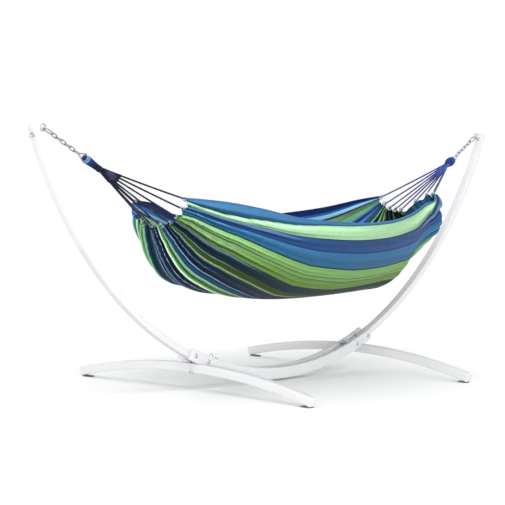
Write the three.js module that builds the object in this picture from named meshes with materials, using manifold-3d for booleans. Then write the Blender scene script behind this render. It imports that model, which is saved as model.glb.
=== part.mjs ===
// Arc-shaped wooden hammock stand with a gathered cloth hammock, chains and cord fans.
// Millimetres, +Z up. The stand runs along X, its two feet lie along Y, and the ground is z = 0.
import * as THREE from 'three';
import { mergeVertices } from 'three/addons/utils/BufferGeometryUtils.js';
import Module from 'manifold-3d';

const wasm = await Module();
wasm.setup();

// Main arc: every beam of the stand follows this circle in the XZ plane.
const arcRadius = 1820;
const arcCentreZ = 1855;
const partGap = 0.3; // between pieces that touch
const degree = Math.PI / 180;

// Arms and the pair of cheeks that hold them.
const armThick = 30;
const armWide = 34;
const armTailX = 445;
const armTopAngle = 65 * degree;
const armTipChamfer = 9;
const armSpans = 48;
const cheekThick = 49;
const cheekWide = 16.7;
const cheekEndX = 670;
const cheekSpans = 40;
const spacerHalfLength = 60;
const spacerThick = 40;

// Cross feet: arches along Y, cut flat where the pads sit.
const footX = 608;
const footHalfLength = 600;
const footThick = 38;
const footWide = 40;
const footCentreHeight = 98;
const footRadius = 2437;
const padThick = 5;
const padLength = 46;
const padWide = 32;
const padInset = 8;
const footSpans = 16;
const saddleHalfAngle = 5 * degree;
const saddleSpare = 1; // across both cheeks

// Bolts.
const crossBoltX = [558, 645];
const tailBoltX = 508;
const boltRadius = 4;
const holeRadius = 4.3;
const footBoltRadius = 5;
const footHoleRadius = 5.3;
const headRadius = 10;
const headHeight = 4;
const nutRadius = 7.5;
const nutHeight = 8;
const capHeight = 7;
const boltSides = 12;
const nutGrip = nutHeight + 2; // how far a bolt runs on into its nut
const nutBore = nutGrip + 2;
const footSeat = 62; // from the arc down to the head of a foot bolt
const seatClearance = 1.5;
const cutReach = 120; // past both faces of whatever a drilled hole goes through
const plateLength = 34;
const plateThick = 4;
const plateInset = 5; // from the outer face of each cheek
const plateGap = 0.4;

// Eye bolts near the arm tips, and the line that each chain follows from its eye.
const eyeAngle = 63.85 * degree;
const eyeInset = 49;
const eyeRing = 13;
const eyeWire = 3.5;
const washerRadius = 11;
const washerThick = 2;
const collarRadius = 8;
const collarThick = 4;
const leftPull = 25.2 * degree;
const rightPull = 28.6 * degree;

// Spring hook, chain, wire triangle and the wrapped cord eye, in order along that line.
const hookStart = 5.9;
const hookLength = 52;
const hookHalfWide = 12;
const hookWire = 2.75;
const gateWire = 2.2;
const gateStart = 15;
const gateLength = 24;
const gateEndGap = 0.7;
const linkCounts = { left: 6, right: 5 };
const linkLength = 33.8;
const linkHalfWide = 6.6;
const linkWire = 2.25;
const contactGap = 0.35;
const ringLength = 46;
const ringHalfWide = 17;
const ringWire = 2.5;
const ringCorner = 4;
const ringShoulder = 10; // where the triangle's sides start to turn in to its base
const eyeOverlap = 8; // how far the wrapped eye reaches over the triangle's base
const eyeBoreGap = 0.8;

// Cords and cloth.
const cordRadius = 2.5;
const cordSides = 6;
const cordPlaces = { // where each cord meets the end edge, from the front corner (-1) to the back one (1)
  left: [-0.98, -0.735, -0.49, -0.245, 0, 0.245, 0.49, 0.735, 0.98],
  right: [-0.98, -0.75, -0.5, -0.2, 0.14, 0.3, 0.46, 0.66, 0.96],
};
const wedgeLength = 86;
const wedgeGap = 1.5;
const wedgeNeckRadius = 9;
const wedgeEndRadius = 17;
const cordLead = 20; // how far a cord starts inside the wedge
const cordSpread = 9;
const cordStop = 2; // between a cord's end and the cloth
const clothThick = 4;
const clothSpans = 30;
const clothStrips = 18;

function finish(color, roughness, metalness) {
  return new THREE.MeshStandardMaterial({ color, roughness, metalness });
}

const paintedWood = finish(0xe6e6e4, 0.55, 0);
const steel = finish(0xb4b7ba, 0.35, 0.9);
const rubber = finish(0x2c2c2e, 0.85, 0);
const cordCotton = finish(0x1c2a5c, 0.9, 0);
const clothCotton = finish(0x7fb868, 0.85, 0);

const stand = new THREE.Group();

function addPiece(name, geometry, material) {
  const mesh = new THREE.Mesh(geometry, material);
  mesh.name = name;
  stand.add(mesh);
  return mesh;
}

// ---- solids ----

function toSolid(geometry) {
  const bare = geometry.clone();
  for (const key of Object.keys(bare.attributes)) {
    if (key !== 'position') bare.deleteAttribute(key);
  }
  const merged = mergeVertices(bare, 1e-3);
  const vertProperties = Float32Array.from(merged.attributes.position.array);
  const triVerts = Uint32Array.from(merged.index.array);
  return new wasm.Manifold(new wasm.Mesh({ numProp: 3, vertProperties, triVerts }));
}

function toGeometry(solid) {
  const { vertProperties, triVerts } = solid.getMesh();
  const geometry = new THREE.BufferGeometry();
  geometry.setAttribute('position', new THREE.BufferAttribute(vertProperties, 3));
  geometry.setIndex(new THREE.BufferAttribute(triVerts, 1));
  return geometry;
}

function cutFrom(geometry, tools) {
  return toGeometry(tools.reduce((solid, tool) => solid.subtract(toSolid(tool)), toSolid(geometry)));
}

function joined(geometries) {
  return toGeometry(geometries.map(toSolid).reduce((all, next) => all.add(next)));
}

// Turns a geometry made along +Y so that it runs along an axis.
function turnedTo(geometry, axis) {
  const upY = new THREE.Vector3(0, 1, 0);
  return geometry.applyQuaternion(new THREE.Quaternion().setFromUnitVectors(upY, axis.clone().normalize()));
}

// A cylinder or cone from one point to another.
function rod(from, to, radius, sides = boltSides, endRadius = radius) {
  const along = new THREE.Vector3().subVectors(to, from);
  const geometry = turnedTo(new THREE.CylinderGeometry(endRadius, radius, along.length(), sides), along);
  const middle = from.clone().addScaledVector(along, 0.5);
  return geometry.translate(middle.x, middle.y, middle.z);
}

// A stepped round piece: [distance along the axis, radius] pairs from the axis back to the axis.
function turned(origin, axis, profile, sides = boltSides) {
  const outline = profile.map(([along, radius]) => new THREE.Vector2(radius, along));
  return turnedTo(new THREE.LatheGeometry(outline, sides), axis).translate(origin.x, origin.y, origin.z);
}

// A closed loop of round wire through flat points.
function wireLoop(points, radius, spans, sides = 6) {
  const loop = new THREE.CatmullRomCurve3(points, true, 'centripetal');
  return new THREE.TubeGeometry(loop, spans, radius, sides, true);
}

// An open run of round wire.
function wireRun(points, radius, steps, sides) {
  const section = new THREE.Shape();
  for (let i = 0; i < sides; i += 1) {
    const turn = (i / sides) * 2 * Math.PI;
    const [x, y] = [radius * Math.cos(turn), radius * Math.sin(turn)];
    if (i === 0) section.moveTo(x, y);
    else section.lineTo(x, y);
  }
  section.closePath();
  const extrudePath = new THREE.CatmullRomCurve3(points, false, 'centripetal');
  return new THREE.ExtrudeGeometry(section, { steps, bevelEnabled: false, extrudePath });
}

// ---- the arc ----

const arcAngle = (x) => Math.asin(x / arcRadius);

// The point at an angle from straight down, at a distance from the arc's centre.
// Negative angles are the left side.
function arcPoint(angle, radius, y = 0) {
  return new THREE.Vector3(radius * Math.sin(angle), y, arcCentreZ - radius * Math.cos(angle));
}

const outward = (angle) => new THREE.Vector3(Math.sin(angle), 0, -Math.cos(angle));

// A curved beam between two angles, with both corners of a tip cut off where a chamfer is given.
function arcBeam(startAngle, endAngle, thick, wide, centreY, spans, startCut = 0, endCut = 0) {
  const [inner, outer] = [arcRadius - thick / 2, arcRadius + thick / 2];
  const points = [];
  const flat = (angle, radius) => {
    const { x, z } = arcPoint(angle, radius);
    return new THREE.Vector2(x, z);
  };
  const run = (radius, from, to) => {
    for (let i = 0; i <= spans; i += 1) points.push(flat(from + ((to - from) * i) / spans, radius));
  };
  run(outer, startAngle + startCut / outer, endAngle - endCut / outer);
  if (endCut) points.push(flat(endAngle, outer - endCut), flat(endAngle, inner + endCut));
  run(inner, endAngle - endCut / inner, startAngle + startCut / inner);
  if (startCut) points.push(flat(startAngle, inner + startCut), flat(startAngle, outer - startCut));
  const geometry = new THREE.ExtrudeGeometry(new THREE.Shape(points), { depth: wide, bevelEnabled: false });
  return geometry.rotateX(Math.PI / 2).translate(0, centreY + wide / 2, 0);
}

const sides = [['left', -1], ['right', 1]];
const crosswise = new THREE.Vector3(0, 1, 0);
const cheekY = armWide / 2 + partGap + cheekWide / 2;
const standHalfWide = cheekY + cheekWide / 2;

const crossHoles = (side) => crossBoltX.map((x) => {
  const angle = side * arcAngle(x);
  return rod(arcPoint(angle, arcRadius, -cutReach), arcPoint(angle, arcRadius, cutReach), holeRadius);
});

function radialHole(angle, radius) {
  return rod(arcPoint(angle, arcRadius - cutReach), arcPoint(angle, arcRadius + cutReach), radius);
}

// ---- arms ----

for (const [name, side] of sides) {
  const [tail, tip] = [side * arcAngle(armTailX), side * armTopAngle];
  const blank = side > 0
    ? arcBeam(tail, tip, armThick, armWide, 0, armSpans, 0, armTipChamfer)
    : arcBeam(tip, tail, armThick, armWide, 0, armSpans, armTipChamfer, 0);
  addPiece(`${name}_arm`, cutFrom(blank, [
    ...crossHoles(side),
    radialHole(side * arcAngle(tailBoltX), holeRadius),
    radialHole(side * arcAngle(footX), footHoleRadius),
    radialHole(side * eyeAngle, holeRadius),
  ]), paintedWood);
}

// ---- cheeks and the spacer between them ----

const cheekAngle = arcAngle(cheekEndX);
for (const [name, side] of [['front', -1], ['back', 1]]) {
  const blank = arcBeam(-cheekAngle, cheekAngle, cheekThick, cheekWide, side * cheekY, cheekSpans);
  addPiece(`${name}_cheek`, cutFrom(blank, [...crossHoles(-1), ...crossHoles(1)]), paintedWood);
}
const spacerAngle = arcAngle(spacerHalfLength);
addPiece('centre_spacer', arcBeam(-spacerAngle, spacerAngle, spacerThick, armWide, 0, 6), paintedWood);

// ---- feet ----

const footDrop = (y) => footRadius - Math.sqrt(footRadius ** 2 - y ** 2);

function footBlank(side) {
  const points = [];
  for (const [offset, direction] of [[-footThick / 2, 1], [footThick / 2, -1]]) {
    for (let i = 0; i <= footSpans; i += 1) {
      const y = direction * footHalfLength * (-1 + (2 * i) / footSpans);
      const height = footCentreHeight - footDrop(y) + offset;
      points.push(new THREE.Vector2(y, Math.max(height, padThick + partGap)));
    }
  }
  const outline = new THREE.Shape(points);
  const geometry = new THREE.ExtrudeGeometry(outline, { depth: footWide, bevelEnabled: false });
  return geometry.rotateX(Math.PI / 2).rotateZ(Math.PI / 2).translate(side * footX - footWide / 2, 0, 0);
}

for (const [name, side] of sides) {
  const angle = side * arcAngle(footX);
  const [saddleStart, saddleEnd] = [angle - saddleHalfAngle, angle + saddleHalfAngle];
  const saddleWide = 2 * standHalfWide + saddleSpare;
  const saddle = arcBeam(saddleStart, saddleEnd, cheekThick + 2 * partGap, saddleWide, 0, 10);
  const seatMouth = arcPoint(angle, arcRadius + cutReach);
  const headSeat = rod(arcPoint(angle, arcRadius + footSeat), seatMouth, headRadius + seatClearance);
  const cuts = [saddle, radialHole(angle, footHoleRadius), headSeat];
  addPiece(`${name}_foot`, cutFrom(footBlank(side), cuts), paintedWood);
  for (const [end, direction] of [['front', -1], ['back', 1]]) {
    const pad = new THREE.BoxGeometry(padWide, padLength, padThick);
    pad.translate(side * footX, direction * (footHalfLength - padInset - padLength / 2), padThick / 2);
    addPiece(`${name}_${end}_pad`, pad, rubber);
  }
}

// ---- bolts and nuts ----

// A round-headed bolt whose head rests on a face at origin and whose shank runs along the axis.
const domeBolt = (origin, axis, length, radius) => turned(origin, axis, [
  [-headHeight, 0],
  [-headHeight * 0.8, headRadius * 0.5],
  [0, headRadius],
  [0, radius],
  [length, radius],
  [length, 0],
]);

// A hexagon nut with a domed cap, open where the bolt comes in.
function capNut(origin, axis, radius, boreDepth) {
  const bore = radius + partGap;
  return turned(origin, axis, [
    [0, bore],
    [0, nutRadius],
    [nutHeight, nutRadius],
    [nutHeight + capHeight * 0.6, nutRadius * 0.7],
    [nutHeight + capHeight, 0],
    [boreDepth, 0],
    [boreDepth, bore],
    [0, bore],
  ]);
}

for (const [name, side] of sides) {
  crossBoltX.forEach((x, i) => {
    const angle = side * arcAngle(x);
    const place = ['inner', 'outer'][i];
    const front = arcPoint(angle, arcRadius, -standHalfWide - 2 * partGap);
    const back = arcPoint(angle, arcRadius, standHalfWide + partGap);
    const bolt = domeBolt(front, crosswise, 2 * standHalfWide + nutGrip, boltRadius);
    addPiece(`${name}_${place}_cross_bolt`, bolt, steel);
    addPiece(`${name}_${place}_cross_nut`, capNut(back, crosswise, boltRadius, nutBore), steel);
  });

  // The tail bolt comes up through the arm's end and clamps a plate across both cheeks.
  const tailAngle = side * arcAngle(tailBoltX);
  const inward = outward(tailAngle).negate();
  const plateRadius = arcRadius - cheekThick / 2 - partGap - plateGap;
  const plate = new THREE.BoxGeometry(plateLength, 2 * (standHalfWide - plateInset), plateThick);
  plate.rotateY(-tailAngle);
  const plateMiddle = arcPoint(tailAngle, plateRadius - plateThick / 2);
  plate.translate(plateMiddle.x, plateMiddle.y, plateMiddle.z);
  addPiece(`${name}_tail_plate`, cutFrom(plate, [radialHole(tailAngle, holeRadius)]), steel);
  const under = arcPoint(tailAngle, arcRadius + armThick / 2 + 2 * partGap);
  const tailLength = armThick / 2 + cheekThick / 2 + plateThick + nutGrip;
  addPiece(`${name}_tail_bolt`, domeBolt(under, inward, tailLength, boltRadius), steel);
  const tailNutAt = arcPoint(tailAngle, plateRadius - plateThick - partGap);
  addPiece(`${name}_tail_nut`, capNut(tailNutAt, inward, boltRadius, nutBore), steel);

  // The foot bolt comes up through the foot and the arm, and its nut sits between the cheeks.
  const footAngle = side * arcAngle(footX);
  const up = outward(footAngle).negate();
  const seat = arcPoint(footAngle, arcRadius + footSeat + partGap);
  const footNutAt = arcPoint(footAngle, arcRadius - armThick / 2 - 2 * partGap);
  const footBoltLength = footSeat + armThick / 2 + nutGrip;
  addPiece(`${name}_foot_bolt`, domeBolt(seat, up, footBoltLength, footBoltRadius), steel);
  addPiece(`${name}_foot_nut`, capNut(footNutAt, up, footBoltRadius, nutBore + 1), steel);
}

// ---- eye bolts ----

for (const [name, side] of sides) {
  const angle = side * eyeAngle;
  const eye = arcPoint(angle, arcRadius - eyeInset);
  const ring = new THREE.TorusGeometry(eyeRing, eyeWire, 8, 16).rotateX(Math.PI / 2);
  ring.translate(eye.x, eye.y, eye.z);
  const innerFace = arcRadius - armThick / 2 - partGap;
  const outerFace = arcRadius + armThick / 2 + partGap;
  const shankStart = arcPoint(angle, arcRadius - eyeInset + eyeRing);
  const shank = rod(shankStart, arcPoint(angle, outerFace - partGap + washerThick + nutGrip), boltRadius);
  const collar = rod(arcPoint(angle, innerFace - collarThick), arcPoint(angle, innerFace), collarRadius);
  addPiece(`${name}_eye_bolt`, joined([ring, shank, collar]), steel);
  const disc = rod(arcPoint(angle, outerFace), arcPoint(angle, outerFace + washerThick), washerRadius, 16);
  addPiece(`${name}_eye_washer`, cutFrom(disc, [radialHole(angle, holeRadius)]), steel);
  const nutAt = arcPoint(angle, outerFace + washerThick + partGap);
  addPiece(`${name}_eye_nut`, capNut(nutAt, outward(angle), boltRadius, nutBore), steel);
}

// ---- hook, chain, triangle and wrapped eye along the pull line ----

function pullLine(side) {
  const angle = side > 0 ? rightPull : leftPull;
  const eye = arcPoint(side * eyeAngle, arcRadius - eyeInset);
  const along = new THREE.Vector3(-side * Math.cos(angle), 0, -Math.sin(angle));
  const upright = new THREE.Vector3(-side * Math.sin(angle), 0, Math.cos(angle));
  const at = (distance, across = 0, wide = crosswise) => eye.clone()
    .addScaledVector(along, distance)
    .addScaledVector(wide, across);
  return { along, upright, at };
}

// Points of a long oval, from its near end round to the near end again.
function oval(line, start, length, half, wide) {
  const points = [];
  const turns = 4;
  for (const [centre, direction] of [[start + half, Math.PI / 2], [start + length - half, -Math.PI / 2]]) {
    for (let i = 0; i <= turns; i += 1) {
      const turn = direction + (Math.PI * i) / turns;
      points.push(line.at(centre + half * Math.cos(turn), half * Math.sin(turn), wide));
    }
  }
  return points;
}

// The hook's wire from one end of its gate, round both bends, to the other end of the gate.
function hookWireRun(line) {
  const all = [line.at(hookStart + gateStart - 1, hookHalfWide)];
  const turns = 6;
  for (const [centre, from] of [[hookHalfWide, Math.PI / 2], [hookLength - hookHalfWide, -Math.PI / 2]]) {
    for (let i = 0; i <= turns; i += 1) {
      const turn = from + (Math.PI * i) / turns;
      const along = hookStart + centre + hookHalfWide * Math.cos(turn);
      all.push(line.at(along, hookHalfWide * Math.sin(turn)));
    }
  }
  all.push(line.at(hookStart + gateStart + gateLength + 1, hookHalfWide));
  return all;
}

const hookEnd = hookStart + hookLength;
const linkPitch = linkLength - 2 * linkWire - contactGap;
const firstLink = hookEnd - hookWire - linkWire - contactGap;

// Every second link is turned through a right angle.
const linkWide = (line, index) => (index % 2 ? crosswise : line.upright);

function ringStartAfter(linkCount) {
  const chainEnd = firstLink + (linkCount - 1) * linkPitch + linkLength;
  return chainEnd - linkWire - ringWire - contactGap;
}

// A rounded triangle of wire: its apex takes the last link and its base takes the wrapped eye.
function triangleLoop(line, ringStart, wide) {
  const half = [
    [0, 0],
    [3, 5],
    [ringLength - ringShoulder, ringHalfWide - 1],
    [ringLength - ringCorner, ringHalfWide + 1],
  ];
  const base = [1, 0.35, -0.35, -1].map((share) => [ringLength, share * (ringHalfWide - ringCorner)]);
  const back = half.slice(1).reverse().map(([along, across]) => [along, -across]);
  const all = [...half, ...base, ...back];
  return all.map(([along, across]) => line.at(ringStart + along, across, wide));
}

// The wrapped eye: a flattened sleeve that narrows to the neck, threaded by the triangle's base wire.
function wrappedEye(line, ringEnd, wide, length, profile) {
  const points = profile.map(([along, radius]) => [ringEnd - eyeOverlap + along * length, radius]);
  const body = turned(line.at(0), line.along, points);
  const [barStart, barEnd] = [-cutReach, cutReach].map((across) => line.at(ringEnd, across, wide));
  return cutFrom(body, [rod(barStart, barEnd, ringWire + eyeBoreGap, 8)]);
}

const eyeShapes = {
  left: { length: 105, profile: [[0, 0], [0.02, 12], [0.12, 16], [0.5, 12.5], [0.85, 11], [1, 13], [1, 0]] },
  right: { length: 62, profile: [[0, 0], [0.05, 11], [0.3, 19], [0.6, 20], [0.88, 14], [1, 11], [1, 0]] },
};

// ---- cloth ----

// The front and back edges: distance along X, half the width, height. The bottom line: X, height.
const rimStations = [
  [-879, 127, 797], [-780, 165, 790], [-680, 205, 780], [-546, 268, 757], [-380, 334, 722], [-150, 380, 702],
  [30, 390, 694], [210, 376, 695], [378, 345, 703], [670, 262, 735], [870, 188, 775], [982, 146, 792],
];
const bottomStations = [
  [-868, 690], [-862, 640], [-838, 572], [-780, 500], [-694, 455], [-592, 426], [-453, 400], [-239, 368],
  [-56, 355], [211, 353], [530, 364], [780, 384], [870, 440], [930, 520], [968, 610], [984, 715],
];
const frontLift = 12;
const backDrop = -14;

// Near the right end the cloth swells out below the front corner and is drawn in under it,
// and its end edge is pulled up beside that corner. A swell with a hold fades out that near the edge.
const swells = [
  { u: 0.979, uSpread: 0.067, v: -0.65, vSpread: 0.35, push: [28.7, -39, -58.4], hold: 0.02 },
  { u: 0.844, uSpread: 0.052, v: -0.27, vSpread: 0.4, push: [-23, 31.2, 7.8], hold: 0.02 },
  { u: 1, uSpread: 0.03, v: -0.42, vSpread: 0.38, push: [0, 0, 58], hold: 0 },
];

const rimCurve = new THREE.CatmullRomCurve3(rimStations.map(([x, y, z]) => new THREE.Vector3(x, y, z)));
const bottomCurve = new THREE.CatmullRomCurve3(bottomStations.map(([x, z]) => new THREE.Vector3(x, 0, z)));

// A point of the cloth: u runs from the left end to the right end,
// v from the front edge (-1) to the back edge (1).
function clothPoint(u, v) {
  const rim = rimCurve.getPointAt(u);
  const bottom = bottomCurve.getPointAt(u);
  const turn = (v * Math.PI) / 2;
  const hang = Math.cos(turn);
  const lift = v < 0 ? frontLift : backDrop;
  const point = new THREE.Vector3(
    rim.x + (bottom.x - rim.x) * hang,
    rim.y * Math.sin(turn),
    rim.z + lift * Math.abs(Math.sin(turn)) + (bottom.z - rim.z) * hang,
  );
  for (const swell of swells) {
    const held = swell.hold ? 1 - Math.exp(-(((1 - u) / swell.hold) ** 2)) : 1;
    const away = ((u - swell.u) / swell.uSpread) ** 2 + ((v - swell.v) / swell.vSpread) ** 2;
    point.addScaledVector(new THREE.Vector3(...swell.push), Math.exp(-away) * held);
  }
  return point;
}

function clothNormal(u, v) {
  const step = 1e-3;
  const [u0, u1] = [Math.max(u - step, 0), Math.min(u + step, 1)];
  const [v0, v1] = [Math.max(v - step, -1), Math.min(v + step, 1)];
  const alongU = clothPoint(u1, v).sub(clothPoint(u0, v));
  const alongV = clothPoint(u, v1).sub(clothPoint(u, v0));
  return alongV.cross(alongU).normalize();
}

function clothGeometry() {
  const positions = [];
  const rows = clothStrips + 1;
  const layer = (clothSpans + 1) * rows;
  for (const offset of [-clothThick / 2, clothThick / 2]) {
    for (let i = 0; i <= clothSpans; i += 1) {
      for (let j = 0; j <= clothStrips; j += 1) {
        const [u, v] = [i / clothSpans, -1 + (2 * j) / clothStrips];
        const p = clothPoint(u, v).addScaledVector(clothNormal(u, v), offset);
        positions.push(p.x, p.y, p.z);
      }
    }
  }
  const index = [];
  const quad = (a, b, c, d) => index.push(a, b, c, a, c, d);
  const at = (i, j, side) => side * layer + i * rows + j;
  for (let i = 0; i < clothSpans; i += 1) {
    for (let j = 0; j < clothStrips; j += 1) {
      quad(at(i, j, 1), at(i, j + 1, 1), at(i + 1, j + 1, 1), at(i + 1, j, 1));
      quad(at(i, j, 0), at(i + 1, j, 0), at(i + 1, j + 1, 0), at(i, j + 1, 0));
    }
    quad(at(i, 0, 0), at(i, 0, 1), at(i + 1, 0, 1), at(i + 1, 0, 0));
    quad(at(i, clothStrips, 0), at(i + 1, clothStrips, 0), at(i + 1, clothStrips, 1), at(i, clothStrips, 1));
  }
  for (let j = 0; j < clothStrips; j += 1) {
    quad(at(0, j, 0), at(0, j + 1, 0), at(0, j + 1, 1), at(0, j, 1));
    quad(at(clothSpans, j, 0), at(clothSpans, j, 1), at(clothSpans, j + 1, 1), at(clothSpans, j + 1, 0));
  }
  const geometry = new THREE.BufferGeometry();
  geometry.setAttribute('position', new THREE.Float32BufferAttribute(positions, 3));
  geometry.setIndex(index);
  return geometry;
}

// ---- cords ----

// Straight cords from the neck of the wrapped eye to their places on the cloth's end edge.
function cordFan(line, places, end, neck) {
  const wedgeEnd = line.at(neck + wedgeLength);
  const wedge = rod(line.at(neck + wedgeGap), wedgeEnd, wedgeNeckRadius, 8, wedgeEndRadius);
  const cords = [];
  for (const v of places) {
    const edge = clothPoint(end, v);
    const reach = new THREE.Vector3().subVectors(edge, wedgeEnd);
    const tied = wedgeEnd.clone().addScaledVector(reach, 1 - (clothThick / 2 + cordStop) / reach.length());
    const lead = wedgeEnd.clone().addScaledVector(line.along, -cordLead);
    lead.addScaledVector(crosswise, v * cordSpread);
    cords.push(rod(lead, tied, cordRadius, cordSides));
  }
  return joined([wedge, ...cords]);
}

for (const [name, side] of sides) {
  const line = pullLine(side);
  addPiece(`${name}_spring_hook`, wireRun(hookWireRun(line), hookWire, 26, 8), steel);
  const gateStraight = gateLength - 2 * (gateWire + gateEndGap);
  const gate = turnedTo(new THREE.CapsuleGeometry(gateWire, gateStraight, 4, 8), line.along);
  const gateMiddle = line.at(hookStart + gateStart + gateLength / 2, hookHalfWide);
  addPiece(`${name}_hook_gate`, gate.translate(gateMiddle.x, gateMiddle.y, gateMiddle.z), steel);
  for (let i = 0; i < linkCounts[name]; i += 1) {
    const wide = linkWide(line, i);
    const points = oval(line, firstLink + i * linkPitch, linkLength, linkHalfWide, wide);
    addPiece(`${name}_chain_link_${i + 1}`, wireLoop(points, linkWire, 16), steel);
  }
  const ringStart = ringStartAfter(linkCounts[name]);
  const ringEnd = ringStart + ringLength;
  const ringWide = linkWide(line, linkCounts[name]); // the triangle takes its turn after the last link
  addPiece(`${name}_triangle_ring`, wireLoop(triangleLoop(line, ringStart, ringWide), ringWire, 24), steel);
  const { length, profile } = eyeShapes[name];
  addPiece(`${name}_cord_eye`, wrappedEye(line, ringEnd, ringWide, length, profile), cordCotton);
  const neck = ringEnd - eyeOverlap + length;
  addPiece(`${name}_cord_fan`, cordFan(line, cordPlaces[name], side < 0 ? 0 : 1, neck), cordCotton);
}
addPiece('cloth_bed', clothGeometry(), clothCotton);

export default stand;
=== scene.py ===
import math
import bpy
import numpy as np
from mathutils import Matrix, Vector


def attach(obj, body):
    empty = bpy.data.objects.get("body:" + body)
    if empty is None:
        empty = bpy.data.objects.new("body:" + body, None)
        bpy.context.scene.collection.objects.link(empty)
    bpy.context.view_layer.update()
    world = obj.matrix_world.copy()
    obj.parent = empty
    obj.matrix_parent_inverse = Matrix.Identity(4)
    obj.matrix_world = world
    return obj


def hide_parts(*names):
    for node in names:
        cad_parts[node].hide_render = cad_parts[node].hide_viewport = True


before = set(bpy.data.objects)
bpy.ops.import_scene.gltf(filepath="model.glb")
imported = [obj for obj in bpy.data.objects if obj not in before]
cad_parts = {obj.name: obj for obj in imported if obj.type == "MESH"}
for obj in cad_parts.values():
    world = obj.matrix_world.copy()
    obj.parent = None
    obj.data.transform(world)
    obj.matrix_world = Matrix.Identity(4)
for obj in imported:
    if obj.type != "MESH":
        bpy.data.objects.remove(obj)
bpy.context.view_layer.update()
context = bpy.context
print("frame loaded")

camera = {
    "location": (-7.592, -5.3478, 1.2062),
    "heading": math.radians(53.99),  # from +Y towards +X
    "rise": math.radians(-4.05),
    "roll": math.radians(2.32),
    "lens": 153.04,
    "sensor": 36.0,
}


def addCamera():
    data = bpy.data.cameras.new("camera")
    data.lens = camera["lens"]
    data.sensor_width = camera["sensor"]
    eye = bpy.data.objects.new("camera", data)
    context.scene.collection.objects.link(eye)
    turn = Matrix.Rotation(-camera["heading"], 4, "Z")
    tilt = Matrix.Rotation(math.pi / 2 + camera["rise"], 4, "X")
    roll = Matrix.Rotation(camera["roll"], 4, "Z")
    eye.matrix_world = Matrix.Translation(camera["location"]) @ turn @ tilt @ roll
    context.scene.camera = eye


def colour(r, g, b):
    # a screen colour as the linear one that nodes take
    parts = [c / 255 for c in (r, g, b)]
    return tuple([c / 12.92 if c <= 0.04045 else ((c + 0.055) / 1.055) ** 2.4 for c in parts] + [1.0])


def newMaterial(name, **fixed):
    m = bpy.data.materials.new(name)
    m.use_nodes = True
    shader = m.node_tree.nodes["Principled BSDF"]
    for socket, value in fixed.items():
        shader.inputs[socket.replace("_", " ")].default_value = value
    return m, m.node_tree, shader


def addNode(tree, kind, inputs=None, **settings):
    node = tree.nodes.new(kind)
    for name, value in settings.items():
        setattr(node, name, value)
    for name, value in (inputs or {}).items():
        if isinstance(value, bpy.types.NodeSocket):
            tree.links.new(value, node.inputs[name])
        else:
            node.inputs[name].default_value = value
    return node


def calc(tree, operation, a, b=0.0):
    return addNode(tree, "ShaderNodeMath", {0: a, 1: b}, operation=operation).outputs[0]


def mixColour(tree, factor, a, b, blend="MIX"):
    node = addNode(tree, "ShaderNodeMix", data_type="RGBA", blend_type=blend)
    for name, value in (("Factor_Float", factor), ("A_Color", a), ("B_Color", b)):
        socket = next(s for s in node.inputs if s.identifier == name)
        if isinstance(value, bpy.types.NodeSocket):
            tree.links.new(value, socket)
        else:
            socket.default_value = value
    return next(s for s in node.outputs if s.identifier == "Result_Color")


def newGroup(name, inputs, outputs):
    tree = bpy.data.node_groups.new(name, "ShaderNodeTree")
    for socket, kind, value in inputs:
        made = tree.interface.new_socket(socket, in_out="INPUT", socket_type=f"NodeSocket{kind}")
        if value is not None:
            made.default_value = value
    for socket in outputs:
        tree.interface.new_socket(socket, in_out="OUTPUT", socket_type="NodeSocketFloat")
    return tree, tree.nodes.new("NodeGroupInput"), tree.nodes.new("NodeGroupOutput")


def useGroup(tree, group, inputs):
    return addNode(tree, "ShaderNodeGroup", inputs, node_tree=group)


def noise(tree, vector, scale, detail):
    made = addNode(tree, "ShaderNodeTexNoise", {"Vector": vector, "Scale": scale, "Detail": detail})
    return made.outputs["Fac"]


def stretched(tree, vector, factors):
    return addNode(tree, "ShaderNodeVectorMath", {0: vector, 1: factors}, operation="MULTIPLY").outputs[0]


def mapRange(tree, value, low, high, top=1.0):
    inputs = {"Value": value, "From Min": low, "From Max": high, "To Max": top}
    return addNode(tree, "ShaderNodeMapRange", inputs).outputs[0]


def colourRamp(tree, factor, rows, interpolation="LINEAR"):
    # rows: (place from 0 to 1, colour)
    node = addNode(tree, "ShaderNodeValToRGB", {"Fac": factor})
    node.color_ramp.interpolation = interpolation
    stops = node.color_ramp.elements
    for i, (place, tone) in enumerate(rows):
        stop = stops[i] if i < 2 else stops.new(place)
        stop.position = place
        stop.color = colour(*tone)
    return node.outputs["Color"]


def grainGroup():
    # long streaks along the first axis of the vector
    rows = [("Vector", "Vector", None), ("Stretch", "Float", 14.0), ("Scale", "Float", 90.0)]
    tree, given, out = newGroup("longGrain", rows, ["Streak", "Height"])
    along = calc(tree, "DIVIDE", 1.0, given.outputs["Stretch"])
    size = addNode(tree, "ShaderNodeCombineXYZ", {"X": along, "Y": 1.0, "Z": 1.0}).outputs[0]
    place = stretched(tree, given.outputs["Vector"], size)
    wide = noise(tree, place, given.outputs["Scale"], 5.0)
    fine = noise(tree, place, calc(tree, "MULTIPLY", given.outputs["Scale"], 5.0), 3.0)
    tree.links.new(wide, out.inputs["Streak"])
    tree.links.new(calc(tree, "MULTIPLY", wide, fine), out.inputs["Height"])
    return tree


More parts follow.
